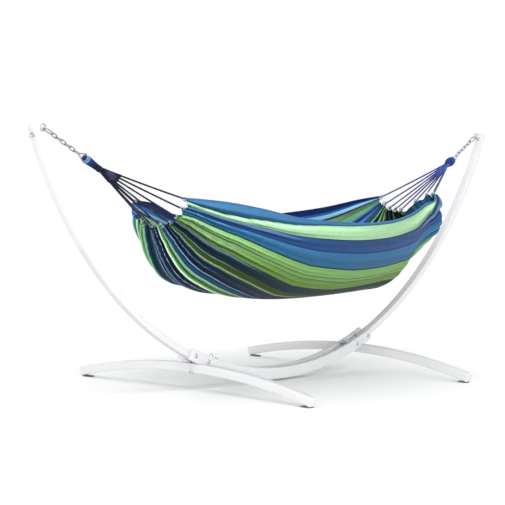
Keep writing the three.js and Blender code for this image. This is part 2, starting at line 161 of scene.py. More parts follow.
def weaveGroup():
    # crossing threads on a flat vector measured in metres
    rows = [("Vector", "Vector", None), ("Pitch", "Float", 0.002), ("Slub", "Float", 30.0)]
    tree, given, out = newGroup("threadWeave", rows, ["Height", "Thread"])
    axes = addNode(tree, "ShaderNodeSeparateXYZ", {0: given.outputs["Vector"]})
    waves = []
    for axis in ("X", "Y"):
        turns = calc(tree, "DIVIDE", axes.outputs[axis], given.outputs["Pitch"])
        waves.append(calc(tree, "SINE", calc(tree, "MULTIPLY", turns, 2 * math.pi)))
    tree.links.new(calc(tree, "MULTIPLY", waves[0], waves[1]), out.inputs["Height"])
    slub = noise(tree, given.outputs["Vector"], given.outputs["Slub"], 6.0)
    tree.links.new(slub, out.inputs["Thread"])
    return tree


def dustGroup():
    # a patchy mask for dust, fading and fine scuffs
    rows = [("Vector", "Vector", None), ("Scale", "Float", 6.0), ("Amount", "Float", 0.4)]
    tree, given, out = newGroup("patchyDust", rows, ["Mask"])
    patch = noise(tree, given.outputs["Vector"], given.outputs["Scale"], 8.0)
    inputs = {0: calc(tree, "SUBTRACT", patch, 0.35), 1: given.outputs["Amount"]}
    scaled = addNode(tree, "ShaderNodeMath", inputs, operation="MULTIPLY", use_clamp=True)
    tree.links.new(scaled.outputs[0], out.inputs["Mask"])
    return tree


longGrain = grainGroup()
threadWeave = weaveGroup()
patchyDust = dustGroup()


def feed(tree, value, shader, socket):
    tree.links.new(value, shader.inputs[socket])


def bump(tree, shader, height, strength, distance):
    node = addNode(tree, "ShaderNodeBump", {"Height": height, "Strength": strength, "Distance": distance})
    feed(tree, node.outputs["Normal"], shader, "Normal")


def objectVector(tree):
    return addNode(tree, "ShaderNodeTexCoord").outputs["Object"]


woodLook = {
    "light": (222, 222, 225), "streak": (209, 209, 211), "dusty": (214, 214, 215), "glue": (192, 191, 190),
    "lamination": 0.006, "glueShare": 0.07, "glueFade": 0.28,
    "stretch": 18.0, "grainScale": 70.0, "dustScale": 5.0, "dustAmount": 0.9,
}


def paintedWoodMaterial():
    m, tree, shader = newMaterial("paleWood")
    run = addNode(tree, "ShaderNodeAttribute", attribute_name="grain").outputs["Vector"]
    inputs = {"Vector": run, "Stretch": woodLook["stretch"], "Scale": woodLook["grainScale"]}
    grain = useGroup(tree, longGrain, inputs)
    inputs = {"Vector": run, "Scale": woodLook["dustScale"], "Amount": woodLook["dustAmount"]}
    dust = useGroup(tree, patchyDust, inputs).outputs["Mask"]
    streak = grain.outputs["Streak"]
    streaky = mixColour(tree, streak, colour(*woodLook["streak"]), colour(*woodLook["light"]))
    dusty = mixColour(tree, dust, streaky, colour(*woodLook["dusty"]))
    # the glue lines between the laminations
    layers = addNode(tree, "ShaderNodeSeparateXYZ", {0: run})
    saw = calc(tree, "FRACT", calc(tree, "MULTIPLY", layers.outputs["Y"], 1 / woodLook["lamination"]))
    line = calc(tree, "GREATER_THAN", saw, 1 - woodLook["glueShare"])
    fadeAndHighlight = calc(tree, "MULTIPLY", line, woodLook["glueFade"])
    lined = mixColour(tree, fadeAndHighlight, dusty, colour(*woodLook["glue"]))
    feed(tree, lined, shader, "Base Color")
    rough = calc(tree, "ADD", calc(tree, "MULTIPLY", grain.outputs["Height"], 0.35), 0.42)
    feed(tree, rough, shader, "Roughness")
    relief = calc(tree, "SUBTRACT", grain.outputs["Height"], calc(tree, "MULTIPLY", line, 0.5))
    bump(tree, shader, relief, 0.25, 0.0006)
    return m


def steelMaterial(name, tone, rough):
    m, tree, shader = newMaterial(name, Metallic=0.9)
    at = objectVector(tree)
    grain = useGroup(tree, longGrain, {"Vector": at, "Stretch": 4.0, "Scale": 400.0})
    dust = useGroup(tree, patchyDust, {"Vector": at, "Scale": 60.0, "Amount": 1.2}).outputs["Mask"]
    worn = tuple(c * 0.55 for c in tone[:3]) + (1.0,)
    feed(tree, mixColour(tree, dust, tone, worn), shader, "Base Color")
    uneven = calc(tree, "MULTIPLY", grain.outputs["Streak"], 0.3)
    feed(tree, calc(tree, "ADD", uneven, rough), shader, "Roughness")
    bump(tree, shader, grain.outputs["Height"], 0.15, 0.0002)
    return m


rubberLook = {"clean": (100, 100, 103), "dusty": (132, 131, 128)}


def rubberMaterial():
    m, tree, shader = newMaterial("rubber")
    at = objectVector(tree)
    dust = useGroup(tree, patchyDust, {"Vector": at, "Scale": 40.0, "Amount": 0.8}).outputs["Mask"]
    tone = mixColour(tree, dust, colour(*rubberLook["clean"]), colour(*rubberLook["dusty"]))
    feed(tree, tone, shader, "Base Color")
    fine = useGroup(tree, longGrain, {"Vector": at, "Stretch": 1.0, "Scale": 900.0})
    uneven = calc(tree, "MULTIPLY", fine.outputs["Streak"], 0.2)
    feed(tree, calc(tree, "ADD", uneven, 0.7), shader, "Roughness")
    bump(tree, shader, fine.outputs["Height"], 0.3, 0.0004)
    return m


# where each stripe starts across the cloth, from 0 at the front edge to 1 at the back, and its colour
stripes = [
    (0.000, (62, 111, 156)), (0.004, (33, 84, 113)), (0.0095, (153, 196, 152)), (0.066, (17, 45, 64)),
    (0.070, (27, 62, 107)), (0.096, (33, 69, 120)), (0.120, (22, 53, 95)), (0.126, (42, 97, 139)),
    (0.164, (37, 90, 125)), (0.199, (13, 47, 53)), (0.204, (113, 157, 87)), (0.247, (41, 67, 34)),
    (0.2505, (119, 155, 91)), (0.267, (41, 67, 34)), (0.2705, (95, 131, 57)), (0.322, (6, 37, 46)),
    # the olive stripe from 0.372 is its own olive darkened further as painted shade for the lower part of the
    # cloth
    (0.350, (5, 30, 41)), (0.372, (42, 60, 16)), (0.404, (113, 143, 81)), (0.411, (6, 34, 54)),
    (0.455, (5, 26, 43)), (0.480, (130, 160, 205)), (0.482, (14, 52, 76)),
]
backStripes = [
    (0.500, (16, 58, 82)), (0.521, (140, 180, 166)), (0.528, (78, 122, 64)), (0.566, (166, 196, 148)),
    (0.574, (10, 24, 38)), (0.603, (150, 178, 222)), (0.6055, (10, 28, 48)), (0.650, (150, 184, 220)),
    (0.6525, (16, 50, 66)), (0.700, (86, 134, 68)), (0.728, (180, 210, 154)), (0.735, (92, 142, 74)),
    (0.765, (184, 216, 164)), (0.775, (18, 62, 86)), (0.800, (170, 212, 160)), (0.812, (60, 116, 62)),
    (0.826, (70, 128, 196)), (0.852, (46, 90, 174)), (0.880, (114, 166, 212)), (0.897, (98, 156, 80)),
    (0.925, (190, 228, 176)), (0.942, (26, 72, 84)), (0.950, (138, 192, 224)), (0.965, (44, 104, 176)),
    (0.976, (20, 44, 104)),
]
# a narrow hatched stripe
pinStrip = {"start": 0.2505, "end": 0.267, "pitch": 0.009, "share": 0.55, "fade": 0.5, "tone": (78, 122, 70)}


def stripeRamp(tree, across, rows, low, high):
    # half the width on each ramp, because one ramp holds 32 colours
    place = mapRange(tree, across, low, high)
    return colourRamp(tree, place, [((start - low) / (high - low), tone) for start, tone in rows], "CONSTANT")


clothLook = {
    "sheen": 0.06, "gloss": 0.12, "threadPitch": 0.0022, "slub": 26.0, "streaks": 60.0,
    # the last five values set the painted highlight on the fold ridges and the painted shade in the creases
    "ridgeLight": 0.7, "creaseShade": 0.62, "highlightStart": 0.6, "highlightMost": 0.24, "fadeAndHighlight": (150, 190, 225),
}


def clothMaterial():
    m, tree, shader = newMaterial(
        "stripedCotton", Sheen_Weight=clothLook["sheen"], Sheen_Roughness=0.5,
        Specular_IOR_Level=clothLook["gloss"],
    )
    flat = addNode(tree, "ShaderNodeUVMap", uv_map="UVMap").outputs["UV"]
    axes = addNode(tree, "ShaderNodeSeparateXYZ", {0: flat})
    across = calc(tree, "DIVIDE", axes.outputs["Y"], cloth["flatWidth"])
    front = stripeRamp(tree, across, stripes, 0.0, 0.5)
    back = stripeRamp(tree, across, backStripes, 0.5, 1.0)
    base = mixColour(tree, calc(tree, "GREATER_THAN", across, 0.5), front, back)
    # slanting hatch between the pin lines
    slant = calc(tree, "DIVIDE", calc(tree, "ADD", axes.outputs["X"], axes.outputs["Y"]), pinStrip["pitch"])
    hatch = calc(tree, "GREATER_THAN", calc(tree, "FRACT", slant), pinStrip["share"])
    past = calc(tree, "GREATER_THAN", across, pinStrip["start"])
    inside = calc(tree, "MULTIPLY", past, calc(tree, "LESS_THAN", across, pinStrip["end"]))
    hatched = calc(tree, "MULTIPLY", calc(tree, "MULTIPLY", hatch, inside), pinStrip["fade"])
    base = mixColour(tree, hatched, base, colour(*pinStrip["tone"]))
    pitch, slub = clothLook["threadPitch"], clothLook["slub"]
    weave = useGroup(tree, threadWeave, {"Vector": flat, "Pitch": pitch, "Slub": slub})
    # weft threads vary a little from one to the next, and the dye is a little uneven
    weft = noise(tree, stretched(tree, flat, (1.0, clothLook["streaks"], 1.0)), 9.0, 4.0)
    warp = noise(tree, stretched(tree, flat, (clothLook["streaks"], 1.0, 1.0)), 9.0, 3.0)
    uneven = calc(tree, "ADD", calc(tree, "MULTIPLY", weft, 0.55), calc(tree, "MULTIPLY", warp, 0.35))
    slubs = calc(tree, "MULTIPLY", weave.outputs["Thread"], 0.2)
    shade = calc(tree, "ADD", calc(tree, "ADD", uneven, slubs), 0.44)
    # painted light: ridges are painted lighter and creases darker, as painted shade from the fold heights
    fold = addNode(tree, "ShaderNodeAttribute", attribute_name="fold").outputs["Fac"]
    ridgeLight = calc(tree, "MULTIPLY", calc(tree, "MAXIMUM", fold, 0.0), clothLook["ridgeLight"])
    creaseShade = calc(tree, "MULTIPLY", calc(tree, "MINIMUM", fold, 0.0), clothLook["creaseShade"])
    shade = calc(tree, "MULTIPLY", shade, calc(tree, "ADD", calc(tree, "ADD", ridgeLight, creaseShade), 1.0))
    grey = addNode(tree, "ShaderNodeCombineXYZ", {"X": shade, "Y": shade, "Z": shade}).outputs[0]
    dyedAndShaded = mixColour(tree, 1.0, base, grey, "MULTIPLY")
    # painted highlight: the highest fold ridges are blended towards a pale blue
    paintedRidgeHighlight = mapRange(tree, fold, clothLook["highlightStart"], 1.0, clothLook["highlightMost"])
    feed(tree, mixColour(tree, paintedRidgeHighlight, dyedAndShaded, colour(*clothLook["fadeAndHighlight"])), shader, "Base Color")
    feed(tree, calc(tree, "ADD", calc(tree, "MULTIPLY", weft, 0.2), 0.74), shader, "Roughness")
    relief = calc(tree, "ADD", weave.outputs["Height"], calc(tree, "MULTIPLY", weft, 1.2))
    bump(tree, shader, relief, 0.35, 0.0005)
    return m


cordLook = {
    "threadPitch": 0.0016, "slub": 120.0, "fleckScale": 18.0, "fleck": (150, 152, 205), "hollow": (8, 12, 30),
}


def cordMaterial(name, rows, flecked=0.45):
    # rows: (distance along the cord in metres, colour), blended; with pale flecks of undyed thread
    m, tree, shader = newMaterial(name, Sheen_Weight=0.08, Specular_IOR_Level=0.15)
    flat = addNode(tree, "ShaderNodeUVMap", uv_map="UVMap").outputs["UV"]
    along = addNode(tree, "ShaderNodeSeparateXYZ", {0: flat}).outputs["X"]
    pale = mapRange(tree, noise(tree, objectVector(tree), cordLook["fleckScale"], 2.0), 0.56, 0.66)
    flecks = calc(tree, "MULTIPLY", pale, flecked)
    tone = mixColour(tree, flecks, colourRamp(tree, along, rows), colour(*cordLook["fleck"]))
    pitch, slub = cordLook["threadPitch"], cordLook["slub"]
    weave = useGroup(tree, threadWeave, {"Vector": flat, "Pitch": pitch, "Slub": slub})
    thread = weave.outputs["Thread"]
    dull = mixColour(tree, calc(tree, "MULTIPLY", thread, 0.4), tone, colour(*cordLook["hollow"]))
    feed(tree, dull, shader, "Base Color")
    feed(tree, calc(tree, "ADD", calc(tree, "MULTIPLY", thread, 0.2), 0.75), shader, "Roughness")
    bump(tree, shader, weave.outputs["Height"], 0.4, 0.0004)
    return m


def deselect():
    if context.object and context.object.mode != "OBJECT":
        bpy.ops.object.mode_set(mode="OBJECT")
    bpy.ops.object.select_all(action="DESELECT")


def pick(obj):
    deselect()
    obj.select_set(True)
    context.view_layer.objects.active = obj


def editAll(obj):
    pick(obj)
    bpy.ops.object.mode_set(mode="EDIT")
    bpy.ops.mesh.select_all(action="SELECT")


def leaveEdit():
    bpy.ops.object.mode_set(mode="OBJECT")
    context.tool_settings.mesh_select_mode = (True, False, False)


def selectEdges(obj, test):
    # into edit mode with only the edges that pass the test selected
    editAll(obj)
    bpy.ops.mesh.select_all(action="DESELECT")
    bpy.ops.object.mode_set(mode="OBJECT")
    for edge in obj.data.edges:
        edge.select = test(edge)
    context.tool_settings.mesh_select_mode = (False, True, False)
    bpy.ops.object.mode_set(mode="EDIT")


def selectFaces(obj, test):
    # the same for faces
    pick(obj)
    for part in (*obj.data.vertices, *obj.data.edges):
        part.select = False
    context.tool_settings.mesh_select_mode = (False, False, True)
    for polygon in obj.data.polygons:
        polygon.select = test(polygon)
    bpy.ops.object.mode_set(mode="EDIT")


def settle(obj, name):
    # the primitive's own place and turn go into its mesh
    obj.name = name
    obj.data.name = name
    obj.data.transform(obj.matrix_basis)
    obj.matrix_basis = Matrix.Identity(4)
    return obj


def outwards(obj):
    editAll(obj)
    bpy.ops.mesh.normals_make_consistent(inside=False)
    bpy.ops.object.mode_set(mode="OBJECT")


def applyModifier(obj, kind, **settings):
    made = obj.modifiers.new(kind.lower(), kind)
    for key, value in settings.items():
        setattr(made, key, value)
    pick(obj)
    bpy.ops.object.modifier_apply(modifier=made.name)


def bevelled(obj, width, segments=3):
    sharp = math.radians(32)
    applyModifier(obj, "BEVEL", width=width, segments=segments, limit_method="ANGLE", angle_limit=sharp)
    smooth(obj)


def smooth(obj, angle=38):
    pick(obj)
    bpy.ops.object.shade_smooth_by_angle(angle=math.radians(angle), keep_sharp_edges=False)


def copyPiece(model, name, place):
    # what repeats is modelled once at the origin; each copy has a mesh of its own
    obj = model.copy()
    obj.data = model.data.copy()
    obj.name = name
    obj.data.name = name
    context.scene.collection.objects.link(obj)
    obj.data.transform(place)
    return obj


def putAway(*models):
    for model in models:
        bpy.data.objects.remove(model)


def finishPiece(obj, body, slotName, material, *nodes):
    deselect()
    obj.data.materials.clear()
    obj.data.materials.append(material)
    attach(obj, body)
    if nodes:
        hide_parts(*nodes)
    return obj


def axesFrame(origin, along, sideways):
    # local X runs along, local Y sideways
    x = Vector(along).normalized()
    y = (Vector(sideways) - x * x.dot(Vector(sideways))).normalized()
    z = x.cross(y)
    turn = Matrix((x, y, z)).transposed().to_4x4()
    return Matrix.Translation(origin) @ turn


def lathePiece(name, profile, sides, place=Matrix()):
    # a disc pulled out along local X in steps of (distance, radius)
    start, radius = profile[0]
    deselect()
    bpy.ops.mesh.primitive_circle_add(
        vertices=sides, radius=radius, fill_type="NGON", location=(start, 0, 0), rotation=(0, math.pi / 2, 0)
    )
    obj = settle(context.object, name)
    editAll(obj)
    for (start, radius), (end, nextRadius) in zip(profile, profile[1:]):
        bpy.ops.mesh.extrude_region_move(TRANSFORM_OT_translate={"value": (end - start, 0, 0)})
        ratio = nextRadius / radius
        bpy.ops.transform.resize(value=(1, ratio, ratio), center_override=(end, 0, 0))
    leaveEdit()
    outwards(obj)
    obj.data.transform(place)
    return obj


def joinPieces(name, pieces):
    deselect()
    for p in pieces:
        p.select_set(True)
    context.view_layer.objects.active = pieces[0]
    bpy.ops.object.join()
    pieces[0].name = name
    pieces[0].data.name = name
    return pieces[0]


def wirePiece(name, corners, radius, bendRadius, closed=True, sides=12):
    # a disc drawn along straight runs and round bends in the local XY plane
    points = [Vector((x, y, 0)) for x, y in corners]
    legs = []
    for before, here, after in zip([points[-1]] + points, points, points[1:] + points[:1]):
        inward, onward = (here - before).normalized(), (after - here).normalized()
        turn = math.atan2(inward.cross(onward).z, inward.dot(onward))
        legs.append((here, inward, onward, turn, bendRadius * math.tan(abs(turn) / 2)))
    order = legs if closed else legs[1:-1]
    begin = (points[-1] + points[0]) / 2 if closed else points[0]
    finish = begin if closed else points[-1]
    heading = order[0][1]
    facing = (0, math.pi / 2, math.atan2(heading.y, heading.x))
    deselect()
    bpy.ops.mesh.primitive_circle_add(
        vertices=sides, radius=radius, fill_type="NGON", location=begin, rotation=facing
    )
    obj = settle(context.object, name)
    editAll(obj)
    at = begin
    for corner, inward, onward, turn, tangent in order:
        bendStart = corner - inward * tangent
        if (bendStart - at).length > 1e-5:
            bpy.ops.mesh.extrude_region_move(TRANSFORM_OT_translate={"value": bendStart - at})
        normal = Vector((-inward.y, inward.x, 0)) * (1 if turn > 0 else -1)
        steps = max(3, round(abs(turn) / math.radians(15)))
        bpy.ops.mesh.spin(steps=steps, angle=-turn, center=bendStart + normal * bendRadius, axis=(0, 0, 1))
        at = corner + onward * tangent
    if (finish - at).length > 1e-5:
        bpy.ops.mesh.extrude_region_move(TRANSFORM_OT_translate={"value": finish - at})
    leaveEdit()
    if closed:
        # the two end discs meet: both go, and their rims are merged
        selectFaces(obj, lambda polygon: len(polygon.vertices) == sides)
        bpy.ops.mesh.delete(type="ONLY_FACE")
        context.tool_settings.mesh_select_mode = (True, False, False)
        bpy.ops.mesh.select_all(action="SELECT")
        bpy.ops.mesh.remove_doubles(threshold=1e-5)
        leaveEdit()
    outwards(obj)
    smooth(obj)
    return obj


def tubeMesh(
    name, path, radius, sides, closed=False, lobes=0, lobeDepth=0.0, twistPitch=0.0, flatten=1.0, uvShift=0.0
):
    # a tube on a list of points; lobes that turn along it make a twisted cord
    p = np.array([tuple(q) for q in path], float)
    n = len(p)
    tangent = np.roll(p, -1, 0) - np.roll(p, 1, 0) if closed else np.gradient(p, axis=0)
    tangent /= np.linalg.norm(tangent, axis=1, keepdims=True)
    travelled = np.r_[0, np.cumsum(np.linalg.norm(np.diff(p, axis=0), axis=1))]
    across = np.zeros_like(p)
    side = np.cross(tangent[0], (0.0, 0.0, 1.0))
    if np.linalg.norm(side) < 1e-3:
        side = np.cross(tangent[0], (1.0, 0.3, 0.0))
    for i in range(n):
        side = side - tangent[i] * side.dot(tangent[i])
        side /= np.linalg.norm(side)
        across[i] = side
    over = np.cross(across, tangent)
    vertices = []
    for i in range(n):
        spin = 2 * math.pi * travelled[i] / twistPitch if twistPitch else 0.0
        for k in range(sides):
            angle = 2 * math.pi * k / sides
            r = radius
            if lobes:
                r *= 1 - lobeDepth * (0.5 - 0.5 * math.cos(lobes * (angle - spin)))
            vertices.append(p[i] + across[i] * r * math.cos(angle) + over[i] * r * flatten * math.sin(angle))
    rings = n if closed else n - 1
    faces = []
    for i in range(rings):
        j = (i + 1) % n
        for k in range(sides):
            m = (k + 1) % sides
            faces.append((i * sides + k, j * sides + k, j * sides + m, i * sides + m))
    if not closed:
        faces.append(tuple(range(sides)))
        faces.append(tuple((n - 1) * sides + k for k in reversed(range(sides))))
    mesh = bpy.data.meshes.new(name)
    mesh.from_pydata([tuple(v) for v in vertices], [], faces)
    layer = mesh.uv_layers.new(name="UVMap")
    for polygon in mesh.polygons:
        for loop in polygon.loop_indices:
            index = mesh.loops[loop].vertex_index
            layer.data[loop].uv = (uvShift + travelled[index // sides], (index % sides) / sides * 0.016)
    obj = bpy.data.objects.new(name, mesh)
    context.scene.collection.objects.link(obj)
    outwards(obj)
    for polygon in mesh.polygons:
        polygon.use_smooth = True
    return obj


arc = {"radius": 1.82, "centreZ": 1.855}


def arcAngle(x):
    return math.asin(x / arc["radius"])


def arcPoint(angle, radius, y=0.0):
    return Vector((radius * math.sin(angle), y, arc["centreZ"] - radius * math.cos(angle)))


def outward(angle):
    return Vector((math.sin(angle), 0, -math.cos(angle)))


sides = (("left", -1), ("right", 1))
beams = {
    "armThick": 0.030, "armWide": 0.034, "armTailX": 0.445, "armTopAngle": math.radians(65), "tipCut": 0.009,
    "cheekThick": 0.049, "cheekWide": 0.0167, "cheekEndX": 0.670, "gap": 0.0003,
    "spacerHalf": 0.060, "spacerThick": 0.040, "spacerRound": 0.0015, "spacerSteps": 12,
    "edgeRound": 0.0028, "armSteps": 96, "cheekSteps": 80,
}
beams["cheekY"] = beams["armWide"] / 2 + beams["gap"] + beams["cheekWide"] / 2
beams["halfWide"] = beams["cheekY"] + beams["cheekWide"] / 2


def arcBeam(name, startAngle, endAngle, thick, wide, centreY, steps, tip=None, edgeRound=None):
    # a small rectangle swept round the arc's centre
    start = arcPoint(startAngle, arc["radius"], centreY)
    deselect()
    bpy.ops.mesh.primitive_plane_add(size=1, location=start, rotation=(0, math.pi / 2 - startAngle, 0))
    obj = context.object
    obj.scale = (thick, wide, 1)
    context.view_layer.update()
    settle(obj, name)
    editAll(obj)
    bpy.ops.mesh.spin(steps=steps, angle=endAngle - startAngle, center=(0, 0, arc["centreZ"]), axis=(0, 1, 0))
    leaveEdit()
    outwards(obj)
    if tip is not None:
        # the two long corners of the tip are cut off
        def crossesTip(edge):
            a, b = (obj.data.vertices[i].co for i in edge.vertices)
            onTip = [abs(math.atan2(co.x, arc["centreZ"] - co.z) - tip) < 1e-4 for co in (a, b)]
            return all(onTip) and abs(a.y - b.y) > 1e-4
        selectEdges(obj, crossesTip)
        bpy.ops.mesh.bevel(offset=beams["tipCut"], segments=2, affect="EDGES")
        leaveEdit()
    if edgeRound:
        bevelled(obj, edgeRound)
    return obj


def setGrain(obj, place):
    # where each point lies along, through and across the board, for the grain and the glue lines
    made = obj.data.attributes.new("grain", "FLOAT_VECTOR", "POINT")
    made.data.foreach_set("vector", np.array([place(v.co) for v in obj.data.vertices], np.float32).ravel())


def arcGrain(shift=0.0):
    def place(co):
        angle = math.atan2(co.x, arc["centreZ"] - co.z)
        through = math.hypot(co.x, arc["centreZ"] - co.z) - arc["radius"]
        return (angle * arc["radius"] + shift, through + 0.003, co.y + shift)
    return place


def makeBeams(wood):
    rounding = beams["edgeRound"]
    for i, (name, side) in enumerate(sides):
        tail, tip = side * arcAngle(beams["armTailX"]), side * beams["armTopAngle"]
        size = (beams["armThick"], beams["armWide"], 0, beams["armSteps"])
        arm = arcBeam(f"{name}_arm_beam", tail, tip, *size, tip, rounding)
        setGrain(arm, arcGrain(3.0 * i))
        finishPiece(arm, "stand", "painted_wood", wood, f"{name}_arm")
    end = arcAngle(beams["cheekEndX"])
    for i, (name, side) in enumerate((("front", -1), ("back", 1))):
        size = (beams["cheekThick"], beams["cheekWide"], side * beams["cheekY"], beams["cheekSteps"])
        cheek = arcBeam(f"{name}_cheek_beam", -end, end, *size, None, rounding)
        setGrain(cheek, arcGrain(7.0 + 3.0 * i))
        finishPiece(cheek, "stand", "painted_wood", wood, f"{name}_cheek")
    half = arcAngle(beams["spacerHalf"])
    size = (beams["spacerThick"], beams["armWide"], 0, beams["spacerSteps"])
    spacer = arcBeam("spacer_block", -half, half, *size, None, beams["spacerRound"])
    setGrain(spacer, arcGrain(15.0))
    finishPiece(spacer, "stand", "painted_wood", wood, "centre_spacer")
    print("beams made")


feet = {
    "x": 0.608, "halfLength": 0.600, "thick": 0.038, "wide": 0.040, "centreHeight": 0.098, "radius": 2.437,
    "steps": 60, "edgeRound": 0.0035, "saddleHalf": math.radians(5), "saddlePlay": 0.0005, "saddleSteps": 10,
    "padThick": 0.005, "padLength": 0.046, "padWide": 0.032, "padInset": 0.008,
    "padCorner": 0.006, "padRim": 0.004, "padCup": 0.0014, "padRound": 0.0007,
}


def roundCorners(obj, thick, radius):
    # the four short edges of a flat block are rounded to a radius
    def isShort(edge):
        a, b = (obj.data.vertices[i].co for i in edge.vertices)
        return abs((a - b).length - thick) < 1e-5
    selectEdges(obj, isShort)
    bpy.ops.mesh.bevel(offset=radius, segments=5, affect="EDGES")
    leaveEdit()


def footBeam(name, x, angle):
    centreZ = feet["centreHeight"] - feet["radius"]
    half = math.asin(feet["halfLength"] / feet["radius"])
    start = (x, -feet["radius"] * math.sin(half), centreZ + feet["radius"] * math.cos(half))
    deselect()
    bpy.ops.mesh.primitive_plane_add(size=1, location=start, rotation=(math.pi / 2 + half, 0, 0))
    foot = context.object
    foot.scale = (feet["wide"], feet["thick"], 1)
    context.view_layer.update()
    settle(foot, name)
    editAll(foot)
    bpy.ops.mesh.spin(steps=feet["steps"], angle=2 * half, center=(x, 0, centreZ), axis=(1, 0, 0))
    bpy.ops.mesh.select_all(action="SELECT")
    # the ends are cut level, to stand on the pads
    level = (0, 0, feet["padThick"] + beams["gap"])
    bpy.ops.mesh.bisect(plane_co=level, plane_no=(0, 0, 1), use_fill=True, clear_inner=True)
    leaveEdit()
    outwards(foot)
    bevelled(foot, feet["edgeRound"])
    # the saddle that the cheeks rest in
    reach, deep = feet["saddleHalf"], beams["cheekThick"] + 2 * beams["gap"]
    wide = 2 * (beams["halfWide"] + feet["saddlePlay"])
    cut = arcBeam("saddle_cut", angle - reach, angle + reach, deep, wide, 0, feet["saddleSteps"])
    applyModifier(foot, "BOOLEAN", operation="DIFFERENCE", object=cut, solver="EXACT")
    putAway(cut)
    smooth(foot)
    return foot


def footGrain(shift):
    def place(co):
        through = co.z + 0.5 * co.y * co.y / feet["radius"] - feet["centreHeight"]
        return (co.y + shift, through + 0.003, co.x)
    return place


def makeFeet(wood, rubber):
    pad = footPad()
    for i, (name, side) in enumerate(sides):
        x = side * feet["x"]
        foot = footBeam(f"{name}_foot_beam", x, side * arcAngle(feet["x"]))
        setGrain(foot, footGrain(20.0 + 5.0 * i))
        finishPiece(foot, "stand", "painted_wood", wood, f"{name}_foot")
        for end, direction in (("front", -1), ("back", 1)):
            y = direction * (feet["halfLength"] - feet["padInset"] - feet["padLength"] / 2)
            sole = copyPiece(pad, f"{name}_{end}_foot_pad", Matrix.Translation((x, y, 0)))
            finishPiece(sole, "stand", "rubber", rubber, f"{name}_{end}_pad")
    putAway(pad)
    print("feet made")


def footPad():
    deselect()
    bpy.ops.mesh.primitive_cube_add(size=1, location=(0, 0, feet["padThick"] / 2))
    pad = context.object
    pad.scale = (feet["padWide"], feet["padLength"], feet["padThick"])
    context.view_layer.update()
    settle(pad, "foot_pad")
    roundCorners(pad, feet["padThick"], feet["padCorner"])
    # a shallow cup in the sole, so that the pad grips round its edge
    selectFaces(pad, lambda polygon: polygon.normal.z < -0.9)
    bpy.ops.mesh.inset(thickness=feet["padRim"])
    bpy.ops.mesh.extrude_region_move(TRANSFORM_OT_translate={"value": (0, 0, feet["padCup"])})
    leaveEdit()
    outwards(pad)
    bevelled(pad, feet["padRound"], 2)
    return pad


bolts = {
    "crossX": (0.558, 0.645), "tailX": 0.508, "footSeat": 0.062, "grip": 0.010,
    "radius": 0.004, "footRadius": 0.005, "tipLength": 0.0012, "headRadius": 0.010, "headHeight": 0.004,
    "dome": [(1, 0.22), (0.96, 0.42), (0.8, 0.66), (0.5, 0.87), (0.18, 0.98)], "socket": 0.62,
    "nutRadius": 0.0075, "nutHeight": 0.008, "capHeight": 0.007, "nutRound": 0.0003,
    "plateLength": 0.034, "plateThick": 0.004, "plateInset": 0.005, "plateGap": 0.0004,
    "plateCorner": 0.005, "plateRound": 0.0009, "washerRadius": 0.011, "washerThick": 0.002,
}


def boltPlace(origin, axis):
    return axesFrame(origin, axis, (0.3, 1, 0.2) if abs(axis[1]) < 0.9 else (1, 0, 0))


def domeBolt(length, radius):
    head, height = bolts["headRadius"], bolts["headHeight"]
    profile = [(-height * up, head * out) for up, out in bolts["dome"]]
    profile += [(0.0, head), (0.0, radius), (length - bolts["tipLength"], radius), (length, radius * 0.8)]
    bolt = lathePiece("dome_bolt", profile, 32)
    # a hexagon socket sunk in the head
    corner = radius * bolts["socket"]
    socket = lathePiece("socket_cut", [(-height * 1.6, corner), (-height * 0.35, corner)], 6)
    applyModifier(bolt, "BOOLEAN", operation="DIFFERENCE", object=socket, solver="EXACT")
    putAway(socket)
    smooth(bolt, 30)
    return bolt


def capNut():
    wide, tall, cap = bolts["nutRadius"], bolts["nutHeight"], bolts["capHeight"]
    profile = [(0.0, wide * 0.93), (0.0007, wide), (tall - 0.0008, wide), (tall, wide * 0.9)]
    block = lathePiece("nut_block", profile, 6)
    bevelled(block, bolts["nutRound"], 2)
    dome = [(tall - 0.001, wide * 0.8), (tall + cap * 0.25, wide * 0.78)]
    for i in range(1, 7):
        turn = i * math.pi / 13
        dome.append((tall + cap * (0.25 + 0.75 * math.sin(turn)), wide * 0.78 * math.cos(turn)))
    top = lathePiece("nut_dome", dome, 28)
    smooth(top, 50)
    return joinPieces("cap_nut", [block, top])


def clampPlate():
    thick = bolts["plateThick"]
    deselect()
    bpy.ops.mesh.primitive_cube_add(size=1)
    plate = context.object
    plate.scale = (bolts["plateLength"], 2 * (beams["halfWide"] - bolts["plateInset"]), thick)
    context.view_layer.update()
    settle(plate, "clamp_plate")
    roundCorners(plate, thick, bolts["plateCorner"])
    bevelled(plate, bolts["plateRound"], 3)
    return plate


def fitBolt(model, name, node, origin, axis, steel):
    finishPiece(copyPiece(model, name, boltPlace(origin, axis)), "stand", "fastener_steel", steel, node)


